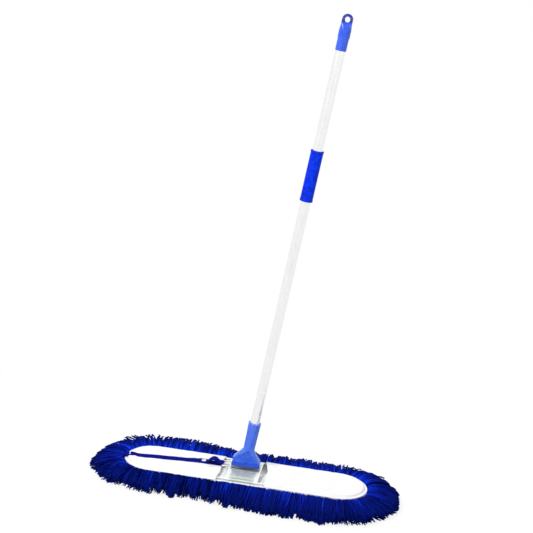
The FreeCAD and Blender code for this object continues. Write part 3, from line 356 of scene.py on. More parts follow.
def twisted_yarn(name, dark, light, pale, plies, turns):
    """Twisted yarn: tone comes from each strand's own attribute, which also carries painted highlight and shade;
    plies from its UV map, with painted shade in the grooves between them.
    """
    material, tree, shader, place = new_material(name, Specular_IOR_Level=0.04)
    own = tree.nodes.new("ShaderNodeUVMap")
    own.uv_map = "UVMap"
    parts = node(tree, "ShaderNodeSeparateXYZ", {"Vector": own.outputs["UV"]})
    twist = use_group(tree, TWIST, {"Around": parts.outputs["X"], "Along": parts.outputs["Y"],
                                    "Plies": plies, "Turns": turns})
    tone = node(tree, "ShaderNodeAttribute", attribute_name="tone").outputs["Fac"]
    grain = use_group(tree, GRAIN, {"Place": place, "Coarse": 300.0, "Fine": 2500.0})
    shade = ramp(tree, tone, [(0.0, dark), (0.6, light), (1.0, pale)])
    # Painted shade: the grooves between plies are darkened towards the dark navy.
    groove_shaded = mix(tree, maths(tree, "MULTIPLY", twist["Groove"], 0.6), shade, dark)
    fuzz = mix(tree, maths(tree, "MULTIPLY", grain["Mottle"], 0.25), groove_shaded, pale)
    tree.links.new(fuzz, shader.inputs["Base Color"])
    tree.links.new(maths(tree, "MULTIPLY_ADD", grain["Height"], 0.1, 0.8), shader.inputs["Roughness"])
    first = bump(tree, shader, twist["Height"], 0.0005, 0.9)
    bump(tree, shader, grain["Height"], 0.0002, 0.6, first)
    return material


def moulded_nylon():
    material, tree, shader, place = new_material("white nylon", IOR=1.5)
    grain = use_group(tree, GRAIN, {"Place": place, "Coarse": 80.0, "Fine": 1500.0})
    shade = ramp(tree, grain["Mottle"], [(0.3, grey(0.7)), (0.7, (0.85, 0.85, 0.83))])
    tree.links.new(shade, shader.inputs["Base Color"])
    tree.links.new(maths(tree, "MULTIPLY_ADD", grain["Mottle"], 0.2, 0.35), shader.inputs["Roughness"])
    bump(tree, shader, grain["Height"], 0.00004, 0.4)
    return material


# NAVY_PALE also colours the painted highlight near the fringe's roots, NAVY_DARK the painted shade at its tips and
# in the ply grooves.
NAVY_DARK = (0.0, 0.0, 0.03)
NAVY = (0.0, 0.003, 0.23)
NAVY_PALE = (0.004, 0.05, 0.85)
finishes = {
    "blue_yarn": twisted_yarn("blue yarn", NAVY_DARK, NAVY, NAVY_PALE, 3.0, 1.0),
    # The canvas's second colour is the painted shade in its weave's gaps.
    "white_canvas": woven_cloth("white canvas", (0.86, 0.86, 0.85), (0.55, 0.55, 0.56), 0.0011,
                                stain=(0.74, 0.75, 0.77)),
    "blue_webbing": strap_webbing(),
    "galvanised_steel": galvanised_sheet(),
    "bright_steel": bright_steel(),
    "white_nylon": moulded_nylon(),
    "dark_blue_plastic": moulded_plastic("dark blue plastic", (0.018, 0.075, 0.56), (0.012, 0.055, 0.43),
                                         (0.05, 0.1, 0.6), 0.32),
    "blue_plastic": moulded_plastic("blue plastic", (0.04, 0.14, 0.72), (0.028, 0.105, 0.58),
                                    (0.18, 0.28, 0.85), 0.2),
    "pole_aluminium": drawn_aluminium(),
    "soft_blue_grip": soft_grip(),
}

# The CAD nodes keep their shapes and take these finishes
slot_of_node = {part["node"]: part["material_slot"] for part in frame["record"]["subparts"]}
for node_name, cad_object in frame["nodes"].items():
    for slot in cad_object.material_slots:
        slot.material = finishes[slot_of_node[node_name]]
cap_finish = moulded_plastic("hanging cap plastic", (0.02, 0.085, 0.66), (0.014, 0.065, 0.54),
                             (0.15, 0.24, 0.8), 0.26, dark_above=top_of("hanging_cap") - 0.024)
for slot in frame["nodes"]["hanging_cap"].material_slots:
    slot.material = cap_finish


# Yarn
def smooth_step(value, low, high):
    part = min(max((value - low) / (high - low), 0), 1)
    return part * part * (3 - 2 * part)


def rim_frame(s):
    """Places along the backing's edge and the outward directions there; s is a distance from the front middle."""
    s = np.mod(np.asarray(s, float), PERIMETER)
    arc = math.pi * RIM_RADIUS
    corners = np.cumsum([RIM_STRAIGHT, arc, 2 * RIM_STRAIGHT, arc])
    place = np.zeros(s.shape + (2,))
    out = np.zeros(s.shape + (2,))
    front = s < corners[0]
    place[front] = np.stack([s[front], np.full(front.sum(), -RIM_RADIUS)], -1)
    out[front] = (0, -1)
    ends = ((corners[0], corners[1], 1, -math.pi / 2), (corners[2], corners[3], -1, math.pi / 2))
    for low, high, side, start in ends:
        here = (s >= low) & (s < high)
        angle = start + (s[here] - low) / RIM_RADIUS
        direction = np.stack([np.cos(angle), np.sin(angle)], -1)
        place[here] = direction * RIM_RADIUS + (side * RIM_STRAIGHT, 0)
        out[here] = direction
    back = (s >= corners[1]) & (s < corners[2])
    place[back] = np.stack([RIM_STRAIGHT - (s[back] - corners[1]), np.full(back.sum(), RIM_RADIUS)], -1)
    out[back] = (0, 1)
    last = s >= corners[3]
    place[last] = np.stack([s[last] - corners[3] - RIM_STRAIGHT, np.full(last.sum(), -RIM_RADIUS)], -1)
    out[last] = (0, -1)
    return place, out


def yarn_mesh(name, paths, radii, tones, sides=6, lobes=0.16, turn_length=0.012):
    """Twisted strands along the given paths, all in one mesh, with UV map and tone.

    paths is (strands, rings, 3); every other corner of a ring stands out, and the ring turns along the strand.
    """
    paths = np.asarray(paths, float)
    count, rings, _ = paths.shape
    radii = np.asarray(radii, float)
    steps = np.diff(paths, axis=1)
    along = np.concatenate([np.zeros((count, 1)), np.cumsum(np.linalg.norm(steps, axis=2), axis=1)], axis=1)
    tangent = np.gradient(paths, axis=1)
    tangent /= np.maximum(np.linalg.norm(tangent, axis=2, keepdims=True), 1e-9)
    sideways = np.cross(tangent, (0.0, 0.0, 1.0))
    weak = np.linalg.norm(sideways, axis=2) < 0.2
    sideways[weak] = np.cross(tangent[weak], (1.0, 0.0, 0.0))
    sideways /= np.maximum(np.linalg.norm(sideways, axis=2, keepdims=True), 1e-9)
    upright = np.cross(sideways, tangent)
    corner = np.arange(sides)
    lobe = 1 + lobes * np.where(corner % 2 == 0, 1, -1)
    angle = (2 * math.pi * corner / sides)[None, None, :] + (2 * math.pi * along / turn_length)[:, :, None]
    spread = radii[:, :, None] * lobe[None, None, :]
    ring = (paths[:, :, None, :]
            + (np.cos(angle) * spread)[..., None] * sideways[:, :, None, :]
            + (np.sin(angle) * spread)[..., None] * upright[:, :, None, :])
    tip = paths[:, -1] + tangent[:, -1] * radii[:, -1:] * 0.7
    per_strand = rings * sides + 1
    vertices = np.concatenate([ring.reshape(count, rings * sides, 3), tip[:, None, :]], axis=1)
    quad = []
    quad_uv = []
    for level in range(rings - 1):
        for side in range(sides):
            following = (side + 1) % sides
            quad.append((level * sides + side, level * sides + following,
                         (level + 1) * sides + following, (level + 1) * sides + side))
            quad_uv.append(((side, level), (side + 1, level), (side + 1, level + 1), (side, level + 1)))
    end = (rings - 1) * sides
    cap = [(end + side, end + (side + 1) % sides, rings * sides) for side in range(sides)]
    base = (np.arange(count) * per_strand)[:, None]
    quads = (np.asarray(quad).reshape(-1)[None, :] + base).reshape(-1)
    caps = (np.asarray(cap).reshape(-1)[None, :] + base).reshape(-1)
    mesh = bpy.data.meshes.new(name)
    mesh.vertices.add(count * per_strand)
    mesh.vertices.foreach_set("co", vertices.reshape(-1))
    loops = np.concatenate([quads, caps])
    mesh.loops.add(len(loops))
    mesh.loops.foreach_set("vertex_index", loops)
    sizes = np.concatenate([np.full(len(quads) // 4, 4), np.full(len(caps) // 3, 3)])
    mesh.polygons.add(len(sizes))
    mesh.polygons.foreach_set("loop_start", np.concatenate([[0], np.cumsum(sizes)[:-1]]))
    mesh.update(calc_edges=True)
    mesh.validate()
    uv = mesh.uv_layers.new(name="UVMap")
    quad_uv = np.asarray(quad_uv, float).reshape(-1, 2)
    around = np.tile(quad_uv[:, 0] / sides, count)
    length = along[:, quad_uv[:, 1].astype(int)].reshape(-1) / turn_length
    cap_corners = [(side / sides, (side + 1) / sides, (side + 0.5) / sides) for side in range(sides)]
    cap_uv = np.tile(np.array(cap_corners).reshape(-1), count)
    cap_length = np.repeat(along[:, -1] / turn_length, 3 * sides)
    uv.data.foreach_set("uv", np.stack([np.concatenate([around, cap_uv]),
                                        np.concatenate([length, cap_length])], -1).reshape(-1))
    tone = mesh.attributes.new("tone", "FLOAT", "POINT")
    levels = np.asarray(tones, float)
    if levels.ndim == 1:
        levels = np.repeat(levels[:, None], rings, axis=1)
    point_tone = np.concatenate([np.repeat(levels, sides, axis=1), levels[:, -1:]], axis=1)
    tone.data.foreach_set("value", point_tone.reshape(-1).astype(np.float32))
    mesh.polygons.foreach_set("use_smooth", np.ones(len(sizes), bool))
    piece = bpy.data.objects.new(name, mesh)
    bpy.context.collection.objects.link(piece)
    piece.data.materials.append(finishes["blue_yarn"])
    return piece


FRINGE_REACH = [-0.010, 0.000, 0.006, 0.014, 0.024, 0.036, 0.048, 0.060, 0.072, 0.080, 0.090]
FRINGE_TOP = [0.0290, 0.0330, 0.0365, 0.0395, 0.0405, 0.0385, 0.0355, 0.0315, 0.0265, 0.0215, 0.0120]
LAYERS = [0.10, 0.24, 0.38, 0.52, 0.65, 0.78, 0.89, 1.0]
STRAND_RADIUS = 0.0014
RINGS = 9
TUFT = 0.017
FRONT_LEFT_TRIM = 0.021
FINE_PITCH = 0.0028
COARSE_PITCH = 0.0036
TUFT_REACH = 0.081
LEAST_REACH = 0.066
MOST_REACH = 0.092
ROOT_INSET = 0.006
STANDING_RISE = 0.011
FRINGE_CEILING = 0.053


def ripple(chance, size, low, high, along):
    """A slow wave of a strand that grows towards its tip."""
    return size * np.sin(along * chance.uniform(low, high) + chance.uniform(0, 6.28)) * along


def front_left_trim(x, facing_back):
    """How much shorter the yarn reaches along the left half of the front."""
    front = smooth_step(-facing_back, 0.2, 1)
    return FRONT_LEFT_TRIM * front * smooth_step(-x, -0.08, 0.14) * (1 - 0.4 * smooth_step(-x, 0.2, 0.3))


def fringe_strands(chance, start, stop):
    """Strands of one stretch of the fringe, in tufts with round ends; their tone carries a painted highlight near
    the roots and painted shade towards the tips.
    """
    paths = []
    radii = []
    tones = []
    ramp_along = np.linspace(0, 1, RINGS)
    fray = np.array([1, 1, 1, 1, 1, 1, 1.04, 1.2, 1.15])
    place = start - chance.uniform(0, TUFT)
    while place < stop:
        width = TUFT * chance.uniform(0.7, 1.3)
        middle = place + width / 2
        swing = chance.normal(0, 0.07)
        tuft_reach = chance.normal(TUFT_REACH, 0.004)
        lift = chance.normal(0, 0.0012)
        tuft_stand = chance.uniform(0.75, 1.1)
        tuft_tone = chance.normal(0, 0.1)
        gather = chance.uniform(0.05, 0.24)
        if place < start or place + width > stop:
            swing, tuft_reach, lift, tuft_stand, tuft_tone, gather = 0, TUFT_REACH, 0, 0.9, 0, 0.04
        for level in LAYERS:
            pitch = FINE_PITCH if level > 0.6 else COARSE_PITCH
            offset = chance.normal(0, 0.003)
            for s0 in np.arange(place + offset, place + offset + width, pitch):
                s0 = s0 + chance.normal(0, 0.0008)
                if not start <= s0 < stop:
                    continue
                beside = (s0 - offset - middle) / (width / 2)
                where, out = rim_frame(np.full(RINGS, s0))
                trim = front_left_trim(where[0, 0], out[0, 1])
                reach = tuft_reach + chance.normal(0, 0.0012) - 0.005 * beside ** 2 - 0.003 * (level < 0.3)
                reach = min(max(reach, LEAST_REACH), MOST_REACH) - trim
                u = -ROOT_INSET + (reach + ROOT_INSET) * ramp_along
                back_left = smooth_step(-where[0, 0], 0.02, 0.16) * smooth_step(out[0, 1], 0.3, 0.9)
                draw = gather * (1 - 0.7 * back_left) * ramp_along ** 1.6 * (middle + offset - s0)
                wave = ripple(chance, 0.0011, 4, 9, ramp_along)
                s = s0 + draw + (swing + chance.normal(0, 0.025)) * np.maximum(u, 0) + wave
                top = np.interp(u * (1 + trim / 0.065), FRINGE_REACH, FRINGE_TOP)
                z = top * level + lift * ramp_along + chance.normal(0, 0.0005)
                z += ripple(chance, 0.0012, 3, 8, ramp_along)
                z[0] = min(z[0], BACKING_UNDER - 0.003)
                if level == 1.0 and chance.uniform() < 0.1:
                    z += chance.uniform(0.001, 0.004) * ramp_along ** 2
                    s += chance.normal(0, 0.004) * ramp_along ** 2
                z += STANDING_RISE * back_left * level ** 2 * tuft_stand * ramp_along ** 1.3
                z = np.clip(z, STRAND_RADIUS * 1.25, FRINGE_CEILING)
                straight = np.abs(out[0, 1]) > 0.9999
                if straight:
                    direction = np.array([-out[0, 1], out[0, 0]])
                    xy = where + out * u[:, None] + direction * (s - s0)[:, None]
                else:
                    angle = (s - s0) / RIM_RADIUS
                    centre = where[0] - out[0] * RIM_RADIUS
                    turned = np.stack([out[0, 0] * np.cos(angle) - out[0, 1] * np.sin(angle),
                                       out[0, 0] * np.sin(angle) + out[0, 1] * np.cos(angle)], -1)
                    xy = centre + turned * (RIM_RADIUS + u)[:, None]
                paths.append(np.concatenate([xy, z[:, None]], axis=1))
                radii.append(STRAND_RADIUS * chance.uniform(0.85, 1.15) * fray)
                # Painted light in the tone: a painted highlight band near the roots, stronger at the back; painted
                # shade darkening the back strands away from the roots and every strand's tip.
                tone = 0.43 + tuft_tone + chance.normal(0, 0.26)
                behind = smooth_step(out[0, 1], -0.5, 0.3)
                band = (0.1 + 0.25 * behind) * np.exp(-(np.maximum(u - 0.004, 0) / 0.012) ** 2)
                shade = band - 0.16 * behind * np.clip((u - 0.012) / 0.03, 0, 1) - 0.9 * ramp_along ** 5
                tones.append(np.clip(tone + shade, 0, 1))
        place += width
    return paths, radii, tones


def fringe():
    straight = 2 * RIM_STRAIGHT
    arc = math.pi * RIM_RADIUS
    stretches = [("fringe_front_left", -RIM_STRAIGHT, 0), ("fringe_front_right", 0, RIM_STRAIGHT),
                 ("fringe_right_end", RIM_STRAIGHT, RIM_STRAIGHT + arc),
                 ("fringe_back_right", RIM_STRAIGHT + arc, straight + arc),
                 ("fringe_back_left", straight + arc, straight + RIM_STRAIGHT + arc),
                 ("fringe_left_end", straight + RIM_STRAIGHT + arc, straight + RIM_STRAIGHT + 2 * arc)]
    pieces = []
    for number, (name, start, stop) in enumerate(stretches):
        chance = np.random.default_rng(SEED + number)
        paths, radii, tones = fringe_strands(chance, start, stop)
        pieces.append(yarn_mesh(name, paths, radii, tones))
    return pieces


def stadium_points(reach, radius, count):
    """Places round the head at an even spacing: straight sides and round ends."""
    straight = reach - radius
    length = 4 * straight + 2 * math.pi * radius
    points = []
    for index in range(count):
        s = index * length / count
        arc = math.pi * radius
        if s < straight:
            points.append((s, -radius))
        elif s < straight + arc:
            angle = -math.pi / 2 + (s - straight) / radius
            points.append((straight + radius * math.cos(angle), radius * math.sin(angle)))
        elif s < 3 * straight + arc:
            points.append((straight - (s - straight - arc), radius))
        elif s < 3 * straight + 2 * arc:
            angle = math.pi / 2 + (s - 3 * straight - arc) / radius
            points.append((-straight + radius * math.cos(angle), radius * math.sin(angle)))
        else:
            points.append((s - 3 * straight - 2 * arc - straight, -radius))
    return points


def finished(name, work, finish):
    """A smooth shaded object from the work mesh, with its finish."""
    mesh = bpy.data.meshes.new(name)
    work.to_mesh(mesh)
    work.free()
    for face in mesh.polygons:
        face.use_smooth = True
    piece = bpy.data.objects.new(name, mesh)
    bpy.context.collection.objects.link(piece)
    mesh.materials.append(finish)
    return piece


def join_rings(work, lower, upper):
    for index in range(len(lower)):
        following = (index + 1) % len(lower)
        work.faces.new((lower[index], lower[following], upper[following], upper[index]))


def skin(name, rings, finish, closed_rings=False):
    """A mesh over rings of equal length; unless they close on themselves, both ends get a face."""
    work = bmesh.new()
    rows = [[work.verts.new(point) for point in ring] for ring in rings]
    pairs = list(zip(rows, rows[1:])) + ([(rows[-1], rows[0])] if closed_rings else [])
    for lower, upper in pairs:
        join_rings(work, lower, upper)
    if not closed_rings:
        work.faces.new(rows[0][::-1])
        work.faces.new(rows[-1])
    bmesh.ops.recalc_face_normals(work, faces=work.faces)
    return finished(name, work, finish)


def yarn_beds():
    """Packed yarn inside the fringe and under the backing, lumpy, hidden by the strands."""
    count = 260
    profile = [(0.001, 0.004), (0.001, 0.0300), (0.014, 0.0345), (0.034, 0.0335), (0.052, 0.0255),
               (0.062, 0.012), (0.056, 0.004)]
    rings = []
    for out, height in profile:
        points = []
        for x, y in stadium_points(RIM_REACH + out, RIM_RADIUS + out, count):
            outward = Vector((x - max(min(x, RIM_STRAIGHT), -RIM_STRAIGHT), y)).normalized()
            pull = front_left_trim(x, outward.y) * out / 0.055
            points.append((x - outward.x * pull, y - outward.y * pull))
        lumps = [noise.noise(Vector((x * 90, y * 90, height * 90))) * 0.0012 for x, y in points]
        rings.append([(x, y, height + lump) for (x, y), lump in zip(points, lumps)])
    fringe_bed = skin("fringe_bed", rings, finishes["blue_yarn"], closed_rings=True)
    rings = []
    for inset, height in ((0.006, 0.0085), (0.002, 0.012), (0.002, 0.028), (0.004, BACKING_UNDER - 0.0005)):
        points = stadium_points(RIM_REACH - inset, RIM_RADIUS - inset, count)
        rings.append([(x, y, height) for x, y in points])
    pile_bed = skin("pile_bed", rings, finishes["blue_yarn"])
    for piece in (fringe_bed, pile_bed):
        # The beds take a low tone, darker than the strands: painted shade for yarn packed deep inside.
        tone = piece.data.attributes.new("tone", "FLOAT", "POINT")
        tone.data.foreach_set("value", np.full(len(piece.data.vertices), 0.15, np.float32))
        piece.data.uv_layers.new(name="UVMap")
    return fringe_bed, pile_bed


def pile():
    """Rows of yarn sewn under the backing, lying over on the floor."""
    chance = np.random.default_rng(SEED + 20)
    rings = 7
    part = np.linspace(0, 1, rings)
    paths = []
    for row, y in enumerate(np.arange(-0.066, 0.067, 0.0075)):
        reach = RIM_STRAIGHT + math.sqrt(max((RIM_RADIUS - 0.006) ** 2 - y * y, 0))
        for x in np.arange(-reach + 0.004 * (row % 2), reach, 0.0085):
            lean = chance.normal(0, 0.35, 2)
            lay = chance.uniform(0.004, 0.012)
            bend = part ** 2
            px = x + chance.normal(0, 0.001) + (lean[0] * 0.014 + math.copysign(lay, lean[0])) * bend
            py = y + chance.normal(0, 0.001) + (lean[1] * 0.014) * bend
            pz = 0.029 - 0.0265 * np.sin(part * math.pi / 2) ** 0.9
            paths.append(np.stack([px, py, np.maximum(pz, 0.0023)], -1))
    paths = np.asarray(paths)
    radii = np.repeat(0.0017 * chance.uniform(0.9, 1.15, (len(paths), 1)), rings, axis=1)
    radii[:, -1] *= 0.8
    tones = np.clip(0.42 + chance.normal(0, 0.12, len(paths)), 0, 1)
    return yarn_mesh("yarn_rows", paths, radii, tones)


fringe_pieces = fringe()
fringe_bed, pile_bed = yarn_beds()
yarn_rows = pile()
for piece in fringe_pieces + [fringe_bed]:
    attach(piece, "mop_head")
    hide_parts("yarn_fringe")
for piece in (pile_bed, yarn_rows):
    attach(piece, "mop_head")
    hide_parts("yarn_pile")


# Cloth and webbing
WIRE_INSET = 0.014
CANVAS = 0.0011
HEM_WIDTH = 0.005
BARE_EDGE = 0.002


def from_edge(x, y):
    """Distance inwards from the backing's edge."""
    return RIM_RADIUS - math.hypot(max(abs(x) - RIM_STRAIGHT, 0), y)


def pocket_height(x, y):
    """Upper face of a pocket: hem flat on the backing, cloth up over the wire, slack between the wires."""
    inset = from_edge(x, y)
    hem = BACKING_TOP + CANVAS + 0.0001
    crown = WIRE_TOP + CANVAS + 0.0001
    climb = smooth_step(inset, BARE_EDGE + HEM_WIDTH + 0.001, WIRE_INSET - 0.0026)
    slack = smooth_step(inset, WIRE_INSET + 0.003, WIRE_INSET + 0.020)
    away = smooth_step(abs(x), POCKET_MOUTH + 0.045, POCKET_MOUTH + 0.085)
    side = 1 if x > 0 else -1
    folds = noise.noise(Vector((x * 16, y * 30, side * 3.1))) * 0.0011
    folds += noise.noise(Vector((x * 45, y * 60, side * 7.7))) * 0.0004
    puckers = noise.noise(Vector((math.atan2(y, abs(x) - RIM_STRAIGHT) * 9, inset * 30, side))) * 0.0006
    height = hem + (crown - hem) * climb
    height -= slack * (0.0006 + 0.0016 * away)
    height += slack * away * folds
    height += puckers * climb * (1 - slack) * smooth_step(inset, 0.008, 0.012)
    if side > 0:
        lift = math.exp(-((x - POCKET_MOUTH + 0.022) / 0.022) ** 2) * math.exp(-((y - 0.042) / 0.015) ** 2)
        height += 0.009 * lift
    return height


def thicken(piece, thickness, offset=-1.0):
    bpy.ops.object.select_all(action="DESELECT")
    bpy.context.view_layer.objects.active = piece
    piece.select_set(True)
    solid = piece.modifiers.new("thickness", "SOLIDIFY")
    solid.thickness = thickness
    solid.offset = offset
    bpy.ops.object.modifier_apply(modifier=solid.name)


def grid_sheet(name, rows, finish):
    """A sheet over a grid of places, its UV map in metres along rows and columns."""
    work = bmesh.new()
    uv = work.loops.layers.uv.new("UVMap")
    grid = [[work.verts.new(place) for place in row] for row in rows]
    across = [[0.0] for _ in rows]
    for index, row in enumerate(rows):
        for first, second in zip(row, row[1:]):
            across[index].append(across[index][-1] + (Vector(second) - Vector(first)).length)
    along = [0.0]
    middle = len(rows[0]) // 2
    for first, second in zip(rows, rows[1:]):
        along.append(along[-1] + (Vector(second[middle]) - Vector(first[middle])).length)
    for i in range(len(rows) - 1):
        for j in range(len(rows[0]) - 1):
            corners = ((i, j), (i, j + 1), (i + 1, j + 1), (i + 1, j))
            face = work.faces.new([grid[a][b] for a, b in corners])
            for loop, (a, b) in zip(face.loops, corners):
                loop[uv].uv = (across[a][b], along[a])
    bmesh.ops.remove_doubles(work, verts=work.verts, dist=0.00002)
    return finished(name, work, finish)


def mouth_place(side, y):
    """Where a pocket's mouth lies: the cloth is cut a little long and pulls unevenly."""
    if side < 0:
        return POCKET_MOUTH - 0.007 + 0.002 * math.sin(y * 55)
    return POCKET_MOUTH - 0.013 - 0.011 * smooth_step(y, 0.0, 0.055) + 0.0015 * math.sin(y * 70)


def pocket(side):
    """One canvas pocket, open towards the middle of the head."""
    radius = RIM_RADIUS - BARE_EDGE
    columns = [(part, 0.0) for part in np.linspace(0, 1, 50)]
    columns += [(1.0, radius * math.sin(turn)) for turn in np.linspace(0, math.pi / 2, 28)[1:]]
    rows = []
    for straight_part, beyond in columns:
        half = math.sqrt(max(radius ** 2 - beyond ** 2, 0))
        row = []
        for part in np.linspace(-1, 1, 57):
            y = half * math.sin(part * math.pi / 2) if abs(part) < 1 else half * part
            mouth = mouth_place(side, y)
            x = mouth + (RIM_STRAIGHT - mouth) * straight_part + beyond
            row.append((side * x, y, pocket_height(side * x, y)))
        rows.append(row if side > 0 else row[::-1])
    name = "canvas_pocket_right" if side > 0 else "canvas_pocket_left"
    piece = grid_sheet(name, rows, finishes["white_canvas"])
    thicken(piece, CANVAS, -1.0)
    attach(piece, "mop_head")
    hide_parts("pocket_right" if side > 0 else "pocket_left")
    return piece


def backing():
    """The canvas that carries the yarn, with a rolled edge."""
    count = 300
    edge = 0.0007
    middle = (BACKING_TOP + BACKING_UNDER) / 2
    half = (BACKING_TOP - BACKING_UNDER) / 2
    rings = []
    profile = ((0.0022, -0.9), (edge, -0.75), (0.0001, -0.2), (0.0001, 0.3), (edge, 0.8), (0.0022, 0.98))
    for inset, rise in profile:
        points = stadium_points(RIM_REACH - inset, RIM_RADIUS - inset, count)
        rings.append([(x, y, middle + half * rise) for x, y in points])
    piece = skin("canvas_backing", rings, finishes["white_canvas"])
    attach(piece, "mop_head")
    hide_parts("backing_cloth")
    return piece


def stitch_mesh(name, places, radius=0.00035):
    """Short thread stitches; places are (start, end, upward) and each stitch arches over the cloth."""
    rings, sides = 5, 5
    work = bmesh.new()
    for start, end, up in places:
        start, end, up = Vector(start), Vector(end), Vector(up)
        across = (end - start).normalized().cross(up)
        rows = []
        for step in range(rings):
            part = step / (rings - 1)
            rise = math.sin(part * math.pi)
            centre = start.lerp(end, part) + up * (radius * (1.3 * rise - 0.5))
            width = radius * (0.75 + 0.25 * rise)
            corners = [across * math.cos(turn) * width + up * math.sin(turn) * width
                       for turn in np.linspace(0, 2 * math.pi, sides, endpoint=False)]
            rows.append([work.verts.new(centre + corner) for corner in corners])
        for lower, upper in zip(rows, rows[1:]):
            join_rings(work, lower, upper)
        work.faces.new(rows[0][::-1])
        work.faces.new(rows[-1])
    bmesh.ops.recalc_face_normals(work, faces=work.faces)
    return finished(name, work, finishes["white_canvas"])


def hem_stitches(side):
    """Lockstitch round a pocket's hem, and two rows across its mouth."""
    places = []
    pitch = 0.0042
    for inset in (0.0036, 0.0062):
        radius = RIM_RADIUS - inset
        arc = math.pi * radius
        straight = RIM_STRAIGHT - POCKET_MOUTH + 0.004
        length = 2 * straight + arc

        def spot(s):
            if s < straight:
                x, y = RIM_STRAIGHT - straight + s, -radius
            elif s < straight + arc:
                turn = (s - straight) / radius - math.pi / 2
                x, y = RIM_STRAIGHT + radius * math.cos(turn), radius * math.sin(turn)
            else:
                x, y = RIM_STRAIGHT - (s - straight - arc), radius
            return side * x, y, pocket_height(side * x, y)
        for index in range(int(length / pitch)):
            s = index * pitch + 0.001
            places.append((spot(s), spot(s + pitch * 0.72), (0, 0, 1)))
    for inward in (0.004, 0.010):
        for y in np.arange(-RIM_RADIUS + 0.010, RIM_RADIUS - 0.012, pitch):
            ends = []
            for v in (y, y + pitch * 0.72):
                x = side * (mouth_place(side, v) + inward)
                ends.append((x, v, pocket_height(x, v)))
            places.append((ends[0], ends[1], (0, 0, 1)))
    piece = stitch_mesh("hem_stitches_right" if side > 0 else "hem_stitches_left", places)
    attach(piece, "mop_head")
    return piece


STRAP_SIDE = 0.013
STRAP_SLANT = 0.020
STRAP_WIDTH = 0.025
WEBBING = 0.0013
FOLD_ARCH = 0.010


def strap_side(x):
    """The webbing's middle in Y: straight at the ring and stud, drawn to the front at the left end."""
    return STRAP_SIDE - STRAP_SLANT * smooth_step(-x, 0.125, 0.34)


def strap_route():
    """Middle line of the webbing in X and Z: from the left end, through the ring, and folded back."""
    ring_low, ring_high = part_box("strap_ring")
    stud_x = (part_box("stud_cap")[0].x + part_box("stud_cap")[1].x) / 2
    bar_x = ring_low.x + (ring_high.z - ring_low.z) / 2
    bar_z = (ring_low.z + ring_high.z) / 2
    turn = (ring_high.z - ring_low.z) / 2 + 0.0001 + WEBBING / 2
    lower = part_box("stud_post")[0].z + WEBBING / 2
    route = []
    start = -(RIM_REACH + 0.004)
    flat_from = stud_x - 0.022
    for x in np.linspace(start, flat_from, 60):
        inset = from_edge(x, strap_side(x))
        taut = WIRE_TOP + CANVAS - 0.0025 * (1 - inset / WIRE_INSET)
        cloth = pocket_height(x, strap_side(x)) if inset > WIRE_INSET else taut
        height = cloth + 0.0002 + WEBBING / 2
        near = smooth_step(x, flat_from - 0.03, flat_from)
        route.append((x, height * (1 - near) + lower * near))
    for x in np.linspace(flat_from, bar_x - 0.024, 14)[1:]:
        rise = smooth_step(x, stud_x + 0.008, bar_x)
        route.append((x, lower + (bar_z - turn - lower) * rise * 0.9))
    for angle in np.linspace(-math.pi / 2 - 0.3, math.pi / 2 + 0.3, 13):
        route.append((bar_x + turn * math.cos(angle), bar_z + turn * math.sin(angle)))
    upper = lower + WEBBING + 0.00025
    for x in np.linspace(bar_x - 0.010, stud_x + 0.010, 12):
        fall = smooth_step(x, stud_x + 0.010, bar_x - 0.006)
        arch = abs(math.sin(math.pi * (x - stud_x - 0.010) / (bar_x - stud_x - 0.020))) ** 0.9
        route.append((x, upper + (bar_z + turn - upper) * fall + FOLD_ARCH * arch))
    for x in np.linspace(stud_x + 0.010, stud_x - 0.015, 7)[1:]:
        route.append((x, upper))
    return route


def strap():
    """Blue webbing with rounded edges, swept along its route."""
    route = strap_route()
    half = STRAP_WIDTH / 2
    thin = WEBBING / 2
    section = [(-half, 0), (-half + 0.0005, thin * 0.8), (-half + 0.0016, thin), (0, thin * 0.94),
               (half - 0.0016, thin), (half - 0.0005, thin * 0.8), (half, 0), (half - 0.0005, -thin * 0.8),
               (half - 0.0016, -thin), (0, -thin * 0.94), (-half + 0.0016, -thin),
               (-half + 0.0005, -thin * 0.8)]
    points = np.array(route)
    tangent = np.gradient(points, axis=0)
    tangent /= np.linalg.norm(tangent, axis=1, keepdims=True)
    along = np.concatenate([[0], np.cumsum(np.linalg.norm(np.diff(points, axis=0), axis=1))])
    work = bmesh.new()
    uv = work.loops.layers.uv.new("UVMap")
    rows = []
    for (x, z), (dx, dz), s in zip(points, tangent, along):
        edge = noise.noise(Vector((s * 40, 0.3, 0.7))) * 0.0005
        side = strap_side(x) + edge
        rows.append([work.verts.new((x - dz * up, side + out, z + dx * up)) for out, up in section])
    count = len(section)
    girth = np.linspace(0, 2 * STRAP_WIDTH, count + 1)
    for i in range(len(rows) - 1):
        for j in range(count):
            corners = ((i, j), (i, j + 1), (i + 1, j + 1), (i + 1, j))
            face = work.faces.new([rows[a][b % count] for a, b in corners])
            for loop, (a, b) in zip(face.loops, corners):
                loop[uv].uv = (girth[b], along[a])
    work.faces.new(rows[0][::-1])
    work.faces.new(rows[-1])
    bmesh.ops.recalc_face_normals(work, faces=work.faces)
    piece = finished("webbing_strap", work, finishes["blue_webbing"])
    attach(piece, "mop_head")
    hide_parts("keeper_strap")
    return piece


canvas_backing = backing()
pockets = [pocket(side) for side in (-1, 1)]
stitches = [hem_stitches(side) for side in (-1, 1)]
webbing_strap = strap()


